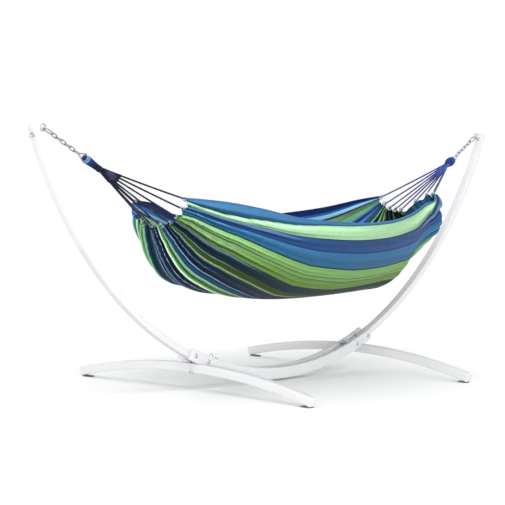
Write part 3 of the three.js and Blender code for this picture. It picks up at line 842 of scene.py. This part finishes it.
def makeBolts(steel, nut):
    arm, cheek, plate = beams["armThick"] / 2, beams["cheekThick"] / 2, bolts["plateThick"]
    models = {
        "cross": domeBolt(2 * beams["halfWide"] + bolts["grip"], bolts["radius"]),
        "tail": domeBolt(arm + cheek + plate + bolts["grip"], bolts["radius"]),
        "foot": domeBolt(bolts["footSeat"] + arm + bolts["grip"], bolts["footRadius"]),
        "plate": clampPlate(),
    }
    across = Vector((0, 1, 0))
    gap = beams["gap"]
    for name, side in sides:
        for x, place in zip(bolts["crossX"], ("inner", "outer")):
            angle = side * arcAngle(x)
            node = f"{name}_{place}_cross"
            front = arcPoint(angle, arc["radius"], -beams["halfWide"] - 2 * gap)
            back = arcPoint(angle, arc["radius"], beams["halfWide"] + gap)
            fitBolt(models["cross"], f"{node}_dome_bolt", f"{node}_bolt", front, across, steel)
            fitBolt(nut, f"{node}_cap_nut", f"{node}_nut", back, across, steel)
        makeTailClamp(name, side, steel, models, nut)
        makeFootBolt(name, side, steel, models, nut)
    putAway(*models.values())
    print("bolts made")


def makeTailClamp(name, side, steel, models, nut):
    gap, thick = beams["gap"], bolts["plateThick"]
    angle = side * arcAngle(bolts["tailX"])
    inward = -outward(angle)
    radius = arc["radius"] - beams["cheekThick"] / 2 - gap - bolts["plateGap"]
    place = Matrix.Translation(arcPoint(angle, radius - thick / 2)) @ Matrix.Rotation(-angle, 4, "Y")
    plate = copyPiece(models["plate"], f"{name}_clamp_plate", place)
    finishPiece(plate, "stand", "fastener_steel", steel, f"{name}_tail_plate")
    under = arcPoint(angle, arc["radius"] + beams["armThick"] / 2 + 2 * gap)
    fitBolt(models["tail"], f"{name}_tail_dome_bolt", f"{name}_tail_bolt", under, inward, steel)
    top = arcPoint(angle, radius - thick - gap)
    fitBolt(nut, f"{name}_tail_cap_nut", f"{name}_tail_nut", top, inward, steel)


def makeFootBolt(name, side, steel, models, nut):
    gap = beams["gap"]
    angle = side * arcAngle(feet["x"])
    up = -outward(angle)
    seat = arcPoint(angle, arc["radius"] + bolts["footSeat"] + gap)
    fitBolt(models["foot"], f"{name}_foot_dome_bolt", f"{name}_foot_bolt", seat, up, steel)
    top = arcPoint(angle, arc["radius"] - beams["armThick"] / 2 - 2 * gap)
    fitBolt(nut, f"{name}_foot_cap_nut", f"{name}_foot_nut", top, up, steel)


eyes = {
    "angle": math.radians(63.85), "inset": 0.049, "ring": 0.013, "wire": 0.0035,
    "collarRadius": 0.008, "collarThick": 0.004,
}


def ringBolt():
    # local X runs outward along the shank, from the middle of the ring
    r, thick, wide = eyes["ring"], eyes["collarThick"], eyes["collarRadius"]
    ring = wirePiece("ring", [(r, r), (-r, r), (-r, -r), (r, -r)], eyes["wire"], r, True, 14)
    length = eyes["inset"] - r + beams["armThick"] / 2 + bolts["washerThick"] + bolts["grip"]
    profile = [(0.0, bolts["radius"]), (length, bolts["radius"] * 0.9)]
    shank = lathePiece("shank", profile, 24, axesFrame((r, 0, 0), (1, 0, 0), (0, 0, -1)))
    inner = eyes["inset"] - beams["armThick"] / 2 - beams["gap"]
    profile = [(0.0, wide), (thick * 0.5, wide), (thick * 0.8, wide * 0.93), (thick, wide * 0.75)]
    collar = lathePiece("collar", profile, 28, axesFrame((inner, 0, 0), (-1, 0, 0), (0, 0, -1)))
    eye = joinPieces("ring_bolt", [ring, shank, collar])
    smooth(eye)
    return eye


def roundWasher():
    thin, disc = bolts["washerThick"], bolts["washerRadius"]
    profile = [(0.0, disc * 0.97), (thin * 0.2, disc), (thin * 0.8, disc), (thin, disc * 0.97)]
    washer = lathePiece("round_washer", profile, 36)
    smooth(washer)
    return washer


def makeEyeBolts(steel, nut):
    eyeModel, washerModel = ringBolt(), roundWasher()
    gap = beams["gap"]
    for name, side in sides:
        angle = side * eyes["angle"]
        out = outward(angle)
        centre = arcPoint(angle, arc["radius"] - eyes["inset"])
        eye = copyPiece(eyeModel, f"{name}_ring_bolt", axesFrame(centre, out, (-out.z, 0, out.x)))
        finishPiece(eye, "stand", "fastener_steel", steel, f"{name}_eye_bolt")
        seat = arc["radius"] + beams["armThick"] / 2 + gap
        place = axesFrame(arcPoint(angle, seat), out, (0, 1, 0))
        washer = copyPiece(washerModel, f"{name}_round_washer", place)
        finishPiece(washer, "stand", "fastener_steel", steel, f"{name}_eye_washer")
        top = arcPoint(angle, seat + bolts["washerThick"] + gap)
        fitBolt(nut, f"{name}_eye_cap_nut", f"{name}_eye_nut", top, out, steel)
    putAway(eyeModel, washerModel)
    print("eye bolts made")


chain = {
    "leftPull": math.radians(25.2), "rightPull": math.radians(28.6), "contact": 0.00035, "bendPlay": 1e-5,
    "hookStart": 0.0059, "hookLength": 0.052, "hookHalf": 0.012, "hookWire": 0.00275, "hookTip": 0.001,
    "gateWire": 0.0022, "gateStart": 0.015, "gateLength": 0.024, "gateEnd": 0.0007,
    "links": {"left": 6, "right": 5}, "linkLength": 0.0338, "linkHalf": 0.0066, "linkWire": 0.00225,
    "ringLength": 0.046, "ringHalf": 0.017, "ringWire": 0.0025, "ringBend": 0.004,
    "ringFlare": 0.0022, "ringTuck": 0.0035, "eyeOverlap": 0.008,
}
chain["pitch"] = chain["linkLength"] - 2 * chain["linkWire"] - chain["contact"]
chain["firstLink"] = chain["hookStart"] + chain["hookLength"] - chain["hookWire"]
chain["firstLink"] -= chain["linkWire"] + chain["contact"]


def ringStart(name):
    last = chain["firstLink"] + (chain["links"][name] - 1) * chain["pitch"] + chain["linkLength"]
    return last - chain["linkWire"] - chain["ringWire"] - chain["contact"]


def ringEnd(name):
    return ringStart(name) + chain["ringLength"]


class PullLine:
    # the straight line from an eye bolt down to the cloth
    def __init__(self, side):
        pull = chain["leftPull"] if side < 0 else chain["rightPull"]
        self.eye = arcPoint(side * eyes["angle"], arc["radius"] - eyes["inset"])
        self.along = Vector((-side * math.cos(pull), 0, -math.sin(pull)))
        self.upright = Vector((-side * math.sin(pull), 0, math.cos(pull)))
        self.wide = Vector((0, 1, 0))

    def at(self, distance, across=0.0, up=0.0):
        return self.eye + self.along * distance + self.wide * across + self.upright * up


def snapHook():
    half, length = chain["hookHalf"], chain["hookLength"]
    gateStart, gateEnd = chain["gateStart"], chain["gateStart"] + chain["gateLength"]
    tip = chain["hookTip"]
    corners = [(gateStart - tip, half), (0, half), (0, -half), (length, -half), (length, half)]
    corners.append((gateEnd + tip, half))
    return wirePiece("snap_hook", corners, chain["hookWire"], half - chain["bendPlay"], False, 14)


def chainLink():
    half, length = chain["linkHalf"], chain["linkLength"]
    corners = [(0, half), (0, -half), (length, -half), (length, half)]
    return wirePiece("link", corners, chain["linkWire"], half - chain["bendPlay"])


def wireTriangle():
    wide, length = chain["ringHalf"] + chain["ringFlare"], chain["ringLength"] + chain["ringTuck"]
    corners = [(0, 0), (length, wide), (length, -wide)]
    return wirePiece("wire_triangle", corners, chain["ringWire"], chain["ringBend"])


def gateBar():
    wire, length = chain["gateWire"], chain["gateLength"] - 2 * chain["gateEnd"]
    profile = []
    for i in range(6):
        turn = math.radians(8 + i * 16.4)
        profile.append((wire * (1 - math.cos(turn)), wire * math.sin(turn)))
    back = [(length - along, radius) for along, radius in reversed(profile)]
    gate = lathePiece("gate_bar", profile + back, 20)
    smooth(gate, 60)
    return gate


def fitChain(model, name, node, origin, along, sideways, steel, body="hammock"):
    piece = copyPiece(model, name, axesFrame(origin, along, sideways))
    finishPiece(piece, body, "chain_steel", steel, node)


def makeChains(steel):
    hook, gate, link, ring = snapHook(), gateBar(), chainLink(), wireTriangle()
    for name, side in sides:
        line = PullLine(side)
        start = line.at(chain["hookStart"])
        fitChain(hook, f"{name}_snap_hook", f"{name}_spring_hook", start, line.along, line.wide, steel)
        hinge = line.at(chain["hookStart"] + chain["gateStart"] + chain["gateEnd"], chain["hookHalf"])
        bar, node, body = f"{name}_gate_bar", f"{name}_hook_gate", f"{name}_gate"
        fitChain(gate, bar, node, hinge, line.along, line.upright, steel, body)
        count = chain["links"][name]
        for i in range(count):
            sideways = line.wide if i % 2 else line.upright
            start = line.at(chain["firstLink"] + i * chain["pitch"])
            node = f"{name}_chain_link_{i + 1}"
            fitChain(link, f"{name}_link_{i + 1}", node, start, line.along, sideways, steel)
        sideways = line.wide if count % 2 else line.upright  # a quarter turn from the last link
        start = line.at(ringStart(name) - chain["ringTuck"])
        fitChain(ring, f"{name}_wire_triangle", f"{name}_triangle_ring", start, line.along, sideways, steel)
    putAway(hook, gate, link, ring)
    print("chains made")


cloth = {
    "rim": [
        (-0.879, 0.127, 0.797), (-0.780, 0.165, 0.790), (-0.680, 0.205, 0.780), (-0.546, 0.268, 0.757),
        (-0.380, 0.334, 0.722), (-0.150, 0.380, 0.702), (0.030, 0.390, 0.694), (0.210, 0.376, 0.695),
        (0.378, 0.345, 0.703), (0.670, 0.262, 0.735), (0.870, 0.188, 0.775), (0.982, 0.146, 0.792),
    ],
    "bottom": [
        (-0.868, 0, 0.690), (-0.862, 0, 0.640), (-0.838, 0, 0.572), (-0.780, 0, 0.500),
        (-0.694, 0, 0.455), (-0.592, 0, 0.426), (-0.453, 0, 0.400), (-0.239, 0, 0.368),
        (-0.056, 0, 0.355), (0.211, 0, 0.353), (0.530, 0, 0.364), (0.780, 0, 0.384),
        (0.870, 0, 0.440), (0.930, 0, 0.520), (0.968, 0, 0.610), (0.984, 0, 0.715),
    ],
    "frontLift": 0.012, "backDrop": -0.014,
    "swells": [  # u, spread, v, spread, push, and how near the right edge it fades out
        (0.979, 0.067, -0.65, 0.35, (0.0287, -0.0390, -0.0584), 0.02),
        (0.844, 0.052, -0.27, 0.40, (-0.0230, 0.0312, 0.0078), 0.02),
        (1.000, 0.030, -0.42, 0.38, (0, 0, 0.058), 0),
    ],
    "cordPlaces": {
        "left": [-0.98, -0.735, -0.49, -0.245, 0, 0.245, 0.49, 0.735, 0.98],
        "right": [-0.98, -0.75, -0.5, -0.2, 0.14, 0.3, 0.46, 0.66, 0.96],
    },
    "flatWidth": 1.2, "flatLength": 2.2, "thick": 0.0012,
    "spansLong": 190, "spansAcross": 226, "crowd": 0.62,
    "lobe": 0.010, "scallop": 0.0055, "scallopFade": 0.028, "wave": 0.0025, "edgeCalm": 0.05,
    "hemFront": 0.0025, "hemBack": 0.985, "sideHem": 0.0036, "endHem": 0.0030,
}
# how far the folds run in from each end, and how full the cloth is between two cords
ends = {"left": {"reach": 1.0, "full": 1.0}, "right": {"reach": 0.6, "full": 0.45}}
# each pleat draws its own values from these ranges
pleats = {
    "count": 34, "seed": 11, "depth": 0.0105, "waves": (14, 58), "fade": (0.08, 0.26),
    "spread": (0.08, 0.26), "size": (0.3, 1.0), "finest": 22, "smoothing": 22, "ridgeHeight": 0.0032,
}
# how the threads move across the cloth as it is gathered: each pair is how much of the move there is
# at each place along the cloth, and how far each thread moves, as shares of the length and the width
gathers = [
    (  # towards the back on the front half, at the left end
        [(0, 0.45), (0.01, 0.65), (0.03, 0.88), (0.06, 0.97), (0.1, 1), (0.15, 0.94), (0.2, 0.76),
         (0.25, 0.58), (0.3, 0.38), (0.35, 0.2), (0.5, 0), (1, 0)],
        [(0, 0), (0.009, 0.044), (0.07, 0), (0.2, -0.082), (0.32, -0.126), (0.41, -0.138),
         (0.57, -0.162), (0.8, -0.08), (1, 0)],
    ),
    (  # the back edge is rolled in at the left end
        [(0, 1), (0.15, 0.9), (0.3, 0.5), (0.5, 0), (1, 0)],
        [(0, 0), (0.775, 0), (0.826, 0.03), (0.852, 0.05), (0.88, 0.06), (0.897, 0.055),
         (0.942, 0.016), (0.95, 0.012), (0.965, 0.001), (0.976, 0.009), (1, 0)],
    ),
    (  # the front stripe narrows to the right corner
        [(0, 0), (0.87, 0), (0.918, 0.2), (0.947, 0.75), (0.97, 1), (1, 1)],
        [(0, 0), (0.009, -0.005), (0.07, -0.058), (0.124, -0.025), (0.2, 0), (1, 0)],
    ),
    (  # and the blue ones spread along the right end
        [(0, 0), (0.962, 0), (0.975, 0.35), (0.988, 0.85), (1, 1)],
        [(0, 0), (0.07, 0), (0.124, 0.13), (0.2, 0.36), (0.32, 0.28), (0.41, 0.22), (0.57, 0.12),
         (0.72, 0.05), (0.8, 0.02), (1, 0)],
    ),
]


def smoothLine(points, steps=60):
    # a centripetal Catmull-Rom line, returned as a function of the share of its length
    p = np.array(points, float)
    p = np.vstack([2 * p[0] - p[1], p, 2 * p[-1] - p[-2]])
    out = []
    for a, b, c, d in zip(p, p[1:], p[2:], p[3:]):
        t0, t1, t2 = (max(math.sqrt(np.linalg.norm(q)), 1e-4) for q in (b - a, c - b, d - c))
        m1 = ((b - a) / t0 - (c - a) / (t0 + t1) + (c - b) / t1) * t1
        m2 = ((c - b) / t1 - (d - b) / (t1 + t2) + (d - c) / t2) * t1
        for k in range(steps):
            t = k / steps
            out.append(b + m1 * t + (3 * (c - b) - 2 * m1 - m2) * t * t + (2 * (b - c) + m1 + m2) * t**3)
    out.append(p[-2])
    out = np.array(out)
    run = np.r_[0, np.cumsum(np.linalg.norm(np.diff(out, axis=0), axis=1))]

    def at(u):
        return np.stack([np.interp(u * run[-1], run, out[:, k]) for k in range(3)], -1)
    return at


rimAt = smoothLine(cloth["rim"])
bottomAt = smoothLine(cloth["bottom"])


def clothPoint(u, v):
    u, v = np.asarray(u, float), np.asarray(v, float)
    rim, bottom = rimAt(u), bottomAt(u)
    turn = v * math.pi / 2
    hang = np.cos(turn)
    lift = np.where(v < 0, cloth["frontLift"], cloth["backDrop"])
    point = np.stack([
        rim[..., 0] + (bottom[..., 0] - rim[..., 0]) * hang,
        rim[..., 1] * np.sin(turn),
        rim[..., 2] + lift * np.abs(np.sin(turn)) + (bottom[..., 2] - rim[..., 2]) * hang,
    ], -1)
    for uMiddle, uSpread, vMiddle, vSpread, push, hold in cloth["swells"]:
        weight = np.exp(-((u - uMiddle) / uSpread) ** 2 - ((v - vMiddle) / vSpread) ** 2)
        if hold:
            weight = weight * (1 - np.exp(-((1 - u) / hold) ** 2))
        point = point + weight[..., None] * np.array(push)
    return point


def curveOf(points, at):
    xs, ys = zip(*points)
    return np.interp(at, xs, ys)


def strandAt(u, v):
    # which thread across the cloth, from 0 to 1, passes through a place on it
    knots = np.linspace(0, 1, 401)
    place = knots.copy()
    for along, across in gathers:
        place += curveOf(across, knots) * curveOf(along, u)
    place = np.maximum.accumulate(2 * place - 1 + 1e-6 * knots)
    return np.interp(v, place, knots)


def pleatWave(phase):
    # round ridges with narrow valleys between them, from -1 to 1
    return 2 * np.abs(np.cos(phase)) ** 0.7 - 1


def pleatDepths(strand, near, reach, rng):
    # pleats that run in from one end and fade out, each over its own part of the width
    depth = np.zeros_like(near)
    rise = 1 - 0.4 * np.exp(-near / 0.01)
    for _ in range(pleats["count"]):
        waves = rng.uniform(*pleats["waves"])
        phase = rng.uniform(0, math.pi)
        fade = rng.uniform(*pleats["fade"]) * reach
        centre = rng.uniform(0.0, 1.0)
        spread = rng.uniform(*pleats["spread"])
        size = pleats["depth"] * rng.uniform(*pleats["size"]) * min(1.0, pleats["finest"] / waves)
        weight = np.exp(-((strand - centre) / spread) ** 2) * np.exp(-(near / fade) ** 1.3)
        depth += size * weight * rise * pleatWave(math.pi * waves * strand + phase)
    return depth


def ridgeHeights(depth):
    # how high each place stands above its surroundings, for a painted highlight on the ridges and painted
    # shade in the creases
    smoothed = depth.copy()
    for _ in range(pleats["smoothing"]):
        smoothed[:, 1:-1] = 0.5 * smoothed[:, 1:-1] + 0.25 * (smoothed[:, :-2] + smoothed[:, 2:])
    return np.clip((depth - smoothed) / pleats["ridgeHeight"], -1, 1)


def clothGrid():
    n, m = cloth["spansLong"] + 1, cloth["spansAcross"] + 1
    even = np.linspace(0, 1, n)
    along = even - cloth["crowd"] * np.sin(2 * math.pi * even) / (2 * math.pi)
    across = np.linspace(-1, 1, m)
    u, v = np.meshgrid(along, across, indexing="ij")
    strand = np.stack([strandAt(a, across) for a in along])
    shifted = u.copy()
    counted = []
    for end, near, way, name in ((0.0, u, 1, "left"), (1.0, 1 - u, -1, "right")):
        # the cord number, a whole number on each thread that is tied to a cord
        places = cloth["cordPlaces"][name]
        count = np.interp(strand, strandAt(end, np.array(places)), np.arange(len(places)))
        counted.append((ends[name], count, near))
        scallop = np.sin(math.pi * count) ** 2 * np.exp(-near / cloth["scallopFade"])
        shifted += way * cloth["scallop"] * scallop
    base = clothPoint(shifted, v)
    normal = np.cross(np.gradient(base, axis=1), np.gradient(base, axis=0))
    normal /= np.linalg.norm(normal, axis=-1, keepdims=True)
    if normal[n // 2, m // 2, 2] > 0:
        normal = -normal
    depth = np.zeros_like(u)
    rng = np.random.default_rng(pleats["seed"])
    for end, count, near in counted:
        reach = end["reach"]
        lobe = end["full"] * cloth["lobe"] * np.abs(np.sin(math.pi * count)) ** 0.75
        depth += lobe * (0.6 * np.exp(-near / (0.06 * reach)) + 0.4 * np.exp(-near / (0.2 * reach)))
        depth += pleatDepths(strand, near, reach, rng)
    # broad soft waves where the cloth hangs loose
    depth += cloth["wave"] * np.sin(10.6 * u + 9 * v) * np.sin(math.pi * u)
    depth *= 0.25 + 0.75 * np.clip((1 - np.abs(v)) / cloth["edgeCalm"], 0, 1)
    return base + normal * depth[..., None], u, strand, ridgeHeights(depth)


def makeCloth(fabric):
    grid, u, strand, ridge = clothGrid()
    n, m = grid.shape[:2]
    mesh = bpy.data.meshes.new("striped_cloth")
    starts = [i * m + j for i in range(n - 1) for j in range(m - 1)]
    faces = [(k, k + 1, k + m + 1, k + m) for k in starts]
    mesh.from_pydata([tuple(p) for p in grid.reshape(-1, 3)], [], faces)
    layer = mesh.uv_layers.new(name="UVMap")
    flat = np.stack([u * cloth["flatLength"], strand * cloth["flatWidth"]], -1).reshape(-1, 2)
    corner = np.zeros(len(mesh.loops), np.int32)
    mesh.loops.foreach_get("vertex_index", corner)
    layer.data.foreach_set("uv", flat[corner].astype(np.float32).ravel())
    fold = mesh.attributes.new("fold", "FLOAT", "POINT")
    fold.data.foreach_set("value", ridge.astype(np.float32).ravel())
    sheet = bpy.data.objects.new("striped_cloth", mesh)
    context.scene.collection.objects.link(sheet)
    applyModifier(sheet, "SOLIDIFY", thickness=cloth["thick"], offset=0)
    for polygon in sheet.data.polygons:
        polygon.use_smooth = True
    finishPiece(sheet, "hammock", "striped_cotton", fabric, "cloth_bed")
    for name, j, across in (("front", 0, cloth["hemFront"]), ("back", m - 1, cloth["hemBack"])):
        hemTube(f"{name}_edge_hem", grid[:, j], cloth["sideHem"], fabric, np.full(n, across))
    for name, i in (("left", 0), ("right", n - 1)):
        hemTube(f"{name}_end_hem", grid[i], cloth["endHem"], fabric, strand[i])
    print("cloth made")


def hemTube(name, path, radius, fabric, strands):
    # a rolled hem: its stripes are those of the cloth that it is rolled from
    sides = 10
    hem = tubeMesh(name, path, radius, sides, flatten=0.75)
    layer = hem.data.uv_layers["UVMap"]
    for loop in hem.data.loops:
        layer.data[loop.index].uv[1] = strands[loop.vertex_index // sides] * cloth["flatWidth"]
    finishPiece(hem, "hammock", "striped_cotton", fabric)
    return hem


cords = {
    "radius": 0.0040, "lobes": 3, "lobeDepth": 0.22, "twist": 0.017, "sides": 12, "step": 0.004,
    "neckSpread": 0.0075, "neckUp": 0.0045, "insideNeck": 0.004, "sag": 0.0022,
    "wrapRadius": 0.0023, "wrapPitch": 0.0044,
}
eyeShapes = {
    "left": {
        "length": 0.105, "pale": 4, "tilt": 0.0016,
        "profile": [(0, 0.0125), (0.12, 0.0155), (0.35, 0.0135), (0.6, 0.0115), (0.85, 0.0105), (1, 0.0115)],
    },
    "right": {
        "length": 0.062, "pale": 0, "tilt": 0.0035,
        "profile": [(0, 0.010), (0.12, 0.0155), (0.34, 0.0190), (0.58, 0.0190), (0.8, 0.0145), (1, 0.0105)],
    },
}


def neckOf(name):
    return ringEnd(name) - chain["eyeOverlap"] + eyeShapes[name]["length"]


def cordRoute(line, name, side, v):
    # from inside the neck, straight and taut to its own place on the cloth's end edge
    up = (abs(v) - 0.5) * cords["neckUp"] * 2
    start = line.at(neckOf(name) - cords["insideNeck"], v * cords["neckSpread"], up)
    end = Vector(clothPoint(0.0 if side < 0 else 1.0, v))
    count = max(15, round((end - start).length / cords["step"]))
    sag = cords["sag"] * (0.4 + 0.6 * abs(math.sin(5 * v)))
    points = []
    for i in range(count + 1):
        t = i / count
        points.append(start.lerp(end, t) - Vector((0, 0, 4 * sag * t * (1 - t))))
    return points


def makeCords(materials):
    for name, side in sides:
        line = PullLine(side)
        made = []
        for i, v in enumerate(cloth["cordPlaces"][name]):
            route = cordRoute(line, name, side, v)
            cord = tubeMesh(
                f"{name}_cord_{i + 1}", route, cords["radius"], cords["sides"], lobes=cords["lobes"],
                lobeDepth=cords["lobeDepth"], twistPitch=cords["twist"],
            )
            # the first cord stands for the whole fan
            nodes = [] if i else [f"{name}_cord_fan"]
            finishPiece(cord, "hammock", "cord_cotton", materials[name], *nodes)
            made.append(route)
        makeClew(name, line, made, materials[name])
        makeEyeWraps(name, line, materials)
        makeTufts(name, made, materials)
    print("cords made")


clew = {
    "left": {"start": 0.006, "end": 0.094, "rows": 21}, "right": {"start": 0.004, "end": 0.050, "rows": 9},
    "strand": 0.0027, "overCord": 0.0006, "points": 60,
}


def pointAlong(route, distance):
    # the first point of a route that is at least so far from its start
    run = 0.0
    for a, b in zip(route, route[1:]):
        run += (b - a).length
        if run >= distance:
            break
    return b


def makeClew(name, line, routes, material):
    # crossing strands woven over and under the cords where they leave the neck
    spec = clew[name]
    rows = []
    for r in range(spec["rows"]):
        distance = spec["start"] + (spec["end"] - spec["start"]) * r / (spec["rows"] - 1)
        places = []
        for i, route in enumerate(routes):
            over = (1 if (i + r) % 2 else -1) * (cords["radius"] + clew["overCord"])
            places.append(pointAlong(route, distance) + line.upright * over)
        rows.append(places)
    parts = []
    for r, places in enumerate(rows):
        path = smoothLine(places, 10)(np.linspace(0, 1, clew["points"]))
        parts.append(tubeMesh(f"{name}_weave_{r}", path, clew["strand"], 8, uvShift=spec["start"]))
    weave = joinPieces(f"{name}_clew_weave", parts)
    finishPiece(weave, "hammock", "cord_cotton", material)


def makeEyeWraps(name, line, materials):
    # the bundle inside and the cord wound round it
    shape, wire = eyeShapes[name], cords["wrapRadius"]
    start = ringEnd(name) - chain["eyeOverlap"]
    length = shape["length"]
    core = [(max(length * t, 0.0012), r - wire * 0.6) for t, r in shape["profile"]]
    core = [(0.0, core[0][1] * 0.6), *core, (length + 0.004, core[-1][1] * 0.7)]
    bundle = lathePiece(f"{name}_cord_bundle", core, 28, axesFrame(line.at(start), line.along, line.wide))
    smooth(bundle, 60)
    layer = bundle.data.uv_layers.new(name="UVMap")
    for loop in bundle.data.loops:
        co = bundle.data.vertices[loop.vertex_index].co
        layer.data[loop.index].uv = ((co - line.at(start)).dot(line.along) * 0.2, co.y)
    finishPiece(bundle, "hammock", "cord_cotton", materials[f"{name}Wrap"], f"{name}_cord_eye")
    turns = int(length / cords["wrapPitch"])
    shares, radii = zip(*shape["profile"])
    pale = shape["pale"]
    wraps = [("wraps", pale, turns, f"{name}Wrap", wire)]
    if pale:
        wraps.insert(0, ("pale_wraps", 0, pale, "pale", wire * 0.62))
    for label, first, last, key, thick in wraps:
        path = []
        for k in range(first * 24, last * 24 + 1):
            turn = 2 * math.pi * k / 24
            along = length * k / 24 / turns
            radius = float(np.interp(along / length, shares, radii)) + 0.0004 * math.sin(turn * 0.37)
            along += shape["tilt"] * math.sin(turn)
            path.append(line.at(start + along, radius * math.cos(turn), radius * math.sin(turn)))
        wrap = tubeMesh(f"{name}_{label}", path, thick, 8, uvShift=0.1)
        finishPiece(wrap, "hammock", "cord_cotton", materials[key])


tufts = {
    "seeds": {"left": 21, "right": 22}, "looks": ("white", "pale", "mint"), "loops": 3, "strand": 0.0019,
    "size": (0.006, 0.0095), "back": (-0.002, 0.007), "scatter": 0.003, "tilt": 0.5, "stretch": 1.3,
}


def makeTufts(name, routes, materials):
    # the little loops of thread that tie each cord to the end hem
    rng = np.random.default_rng(tufts["seeds"][name])
    keys, scatter, tilt = tufts["looks"], tufts["scatter"], tufts["tilt"]
    loops = {key: [] for key in keys}
    for i, route in enumerate(routes):
        end = route[-1]
        back = (route[-4] - end).normalized()
        for k in range(tufts["loops"]):
            size = rng.uniform(*tufts["size"])
            spin = rng.uniform(0, math.pi)
            flat = Vector((math.cos(spin), math.sin(spin), rng.uniform(-tilt, tilt))).normalized()
            centre = end + back * rng.uniform(*tufts["back"]) + Vector(rng.uniform(-scatter, scatter, 3))
            other = back.cross(flat).normalized()
            path = []
            for a in np.linspace(0, 2 * math.pi, 17)[:-1]:
                path.append(centre + (back * math.cos(a) * tufts["stretch"] + other * math.sin(a)) * size)
            made = tubeMesh(f"{name}_loop_{i}_{k}", path, tufts["strand"], 7, closed=True)
            loops[keys[(i + k) % 3]].append(made)
    for key, parts in loops.items():
        tuft = joinPieces(f"{name}_{key}_tufts", parts)
        finishPiece(tuft, "hammock", "cord_cotton", materials[key])


studio = {
    "floor": 80.0, "tone": 0.95, "world": 1.06,
    "lights": [
        {"name": "key", "place": (-4.5, -3.0, 6.0), "size": 2.5, "power": 90.0},
        {"name": "side", "place": (-7.0, -9.0, 1.6), "size": 3.5, "power": 480.0},
    ],
}


def makeStudio():
    deselect()
    bpy.ops.mesh.primitive_plane_add(size=studio["floor"], location=(8, 8, 0))
    floor = context.object
    floor.name = "floor"
    m, _, shader = newMaterial("paleFloor", Roughness=0.9, Specular_IOR_Level=0.05)
    tone = studio["tone"]
    shader.inputs["Base Color"].default_value = (tone, tone, tone, 1)
    floor.data.materials.append(m)
    world = bpy.data.worlds.new("studio")
    context.scene.world = world
    world.use_nodes = True
    sky = world.node_tree.nodes["Background"]
    sky.inputs["Color"].default_value = (1, 1, 1, 1)
    sky.inputs["Strength"].default_value = studio["world"]
    for spec in studio["lights"]:
        data = bpy.data.lights.new(spec["name"], "AREA")
        data.shape = "DISK"
        data.size = spec["size"]
        data.energy = spec["power"]
        light = bpy.data.objects.new(spec["name"], data)
        context.scene.collection.objects.link(light)
        place = Vector(spec["place"])
        light.location = place
        light.rotation_euler = (Vector((0, 0, 0.6)) - place).to_track_quat("-Z", "Y").to_euler()
    context.scene.view_settings.view_transform = "Standard"


# name, colours along the cord, and how flecked it is
threads = {
    "left": (
        "navyCord",
        [(0.0, (16, 24, 52)), (0.09, (8, 12, 26)), (0.12, (14, 18, 40)), (0.3, (20, 24, 54)),
         (0.5, (24, 38, 88))],
        0.16,
    ),
    "right": (
        "blueCord",
        [(0.0, (74, 104, 196)), (0.05, (70, 100, 190)), (0.13, (58, 66, 128)), (0.3, (92, 84, 128)),
         (0.5, (120, 116, 160))],
    ),
    "leftWrap": ("indigoCord", [(0.0, (38, 66, 130)), (0.5, (26, 46, 100)), (1.0, (12, 18, 42))], 0.12),
    "rightWrap": ("royalCord", [(0.0, (30, 60, 128)), (0.5, (44, 84, 168)), (1.0, (34, 66, 140))], 0.2),
    "pale": ("periwinkleCord", [(0.0, (132, 166, 218)), (1.0, (156, 186, 232))]),
    "white": ("whiteThread", [(0.0, (236, 242, 246)), (1.0, (236, 242, 246))]),
    "mint": ("mintThread", [(0.0, (204, 234, 200)), (1.0, (204, 234, 200))]),
}


def buildAll():
    addCamera()
    wood = paintedWoodMaterial()
    fastener = steelMaterial("zincSteel", colour(205, 207, 210), 0.28)
    dulled = steelMaterial("dulledSteel", colour(160, 162, 165), 0.3)
    rubber = rubberMaterial()
    fabric = clothMaterial()
    cordLooks = {key: cordMaterial(*look) for key, look in threads.items()}
    makeCords(cordLooks)
    makeCloth(fabric)
    makeBeams(wood)
    makeFeet(wood, rubber)
    nut = capNut()
    makeBolts(fastener, nut)
    makeEyeBolts(fastener, nut)
    putAway(nut)
    makeChains(dulled)
    makeStudio()


buildAll()
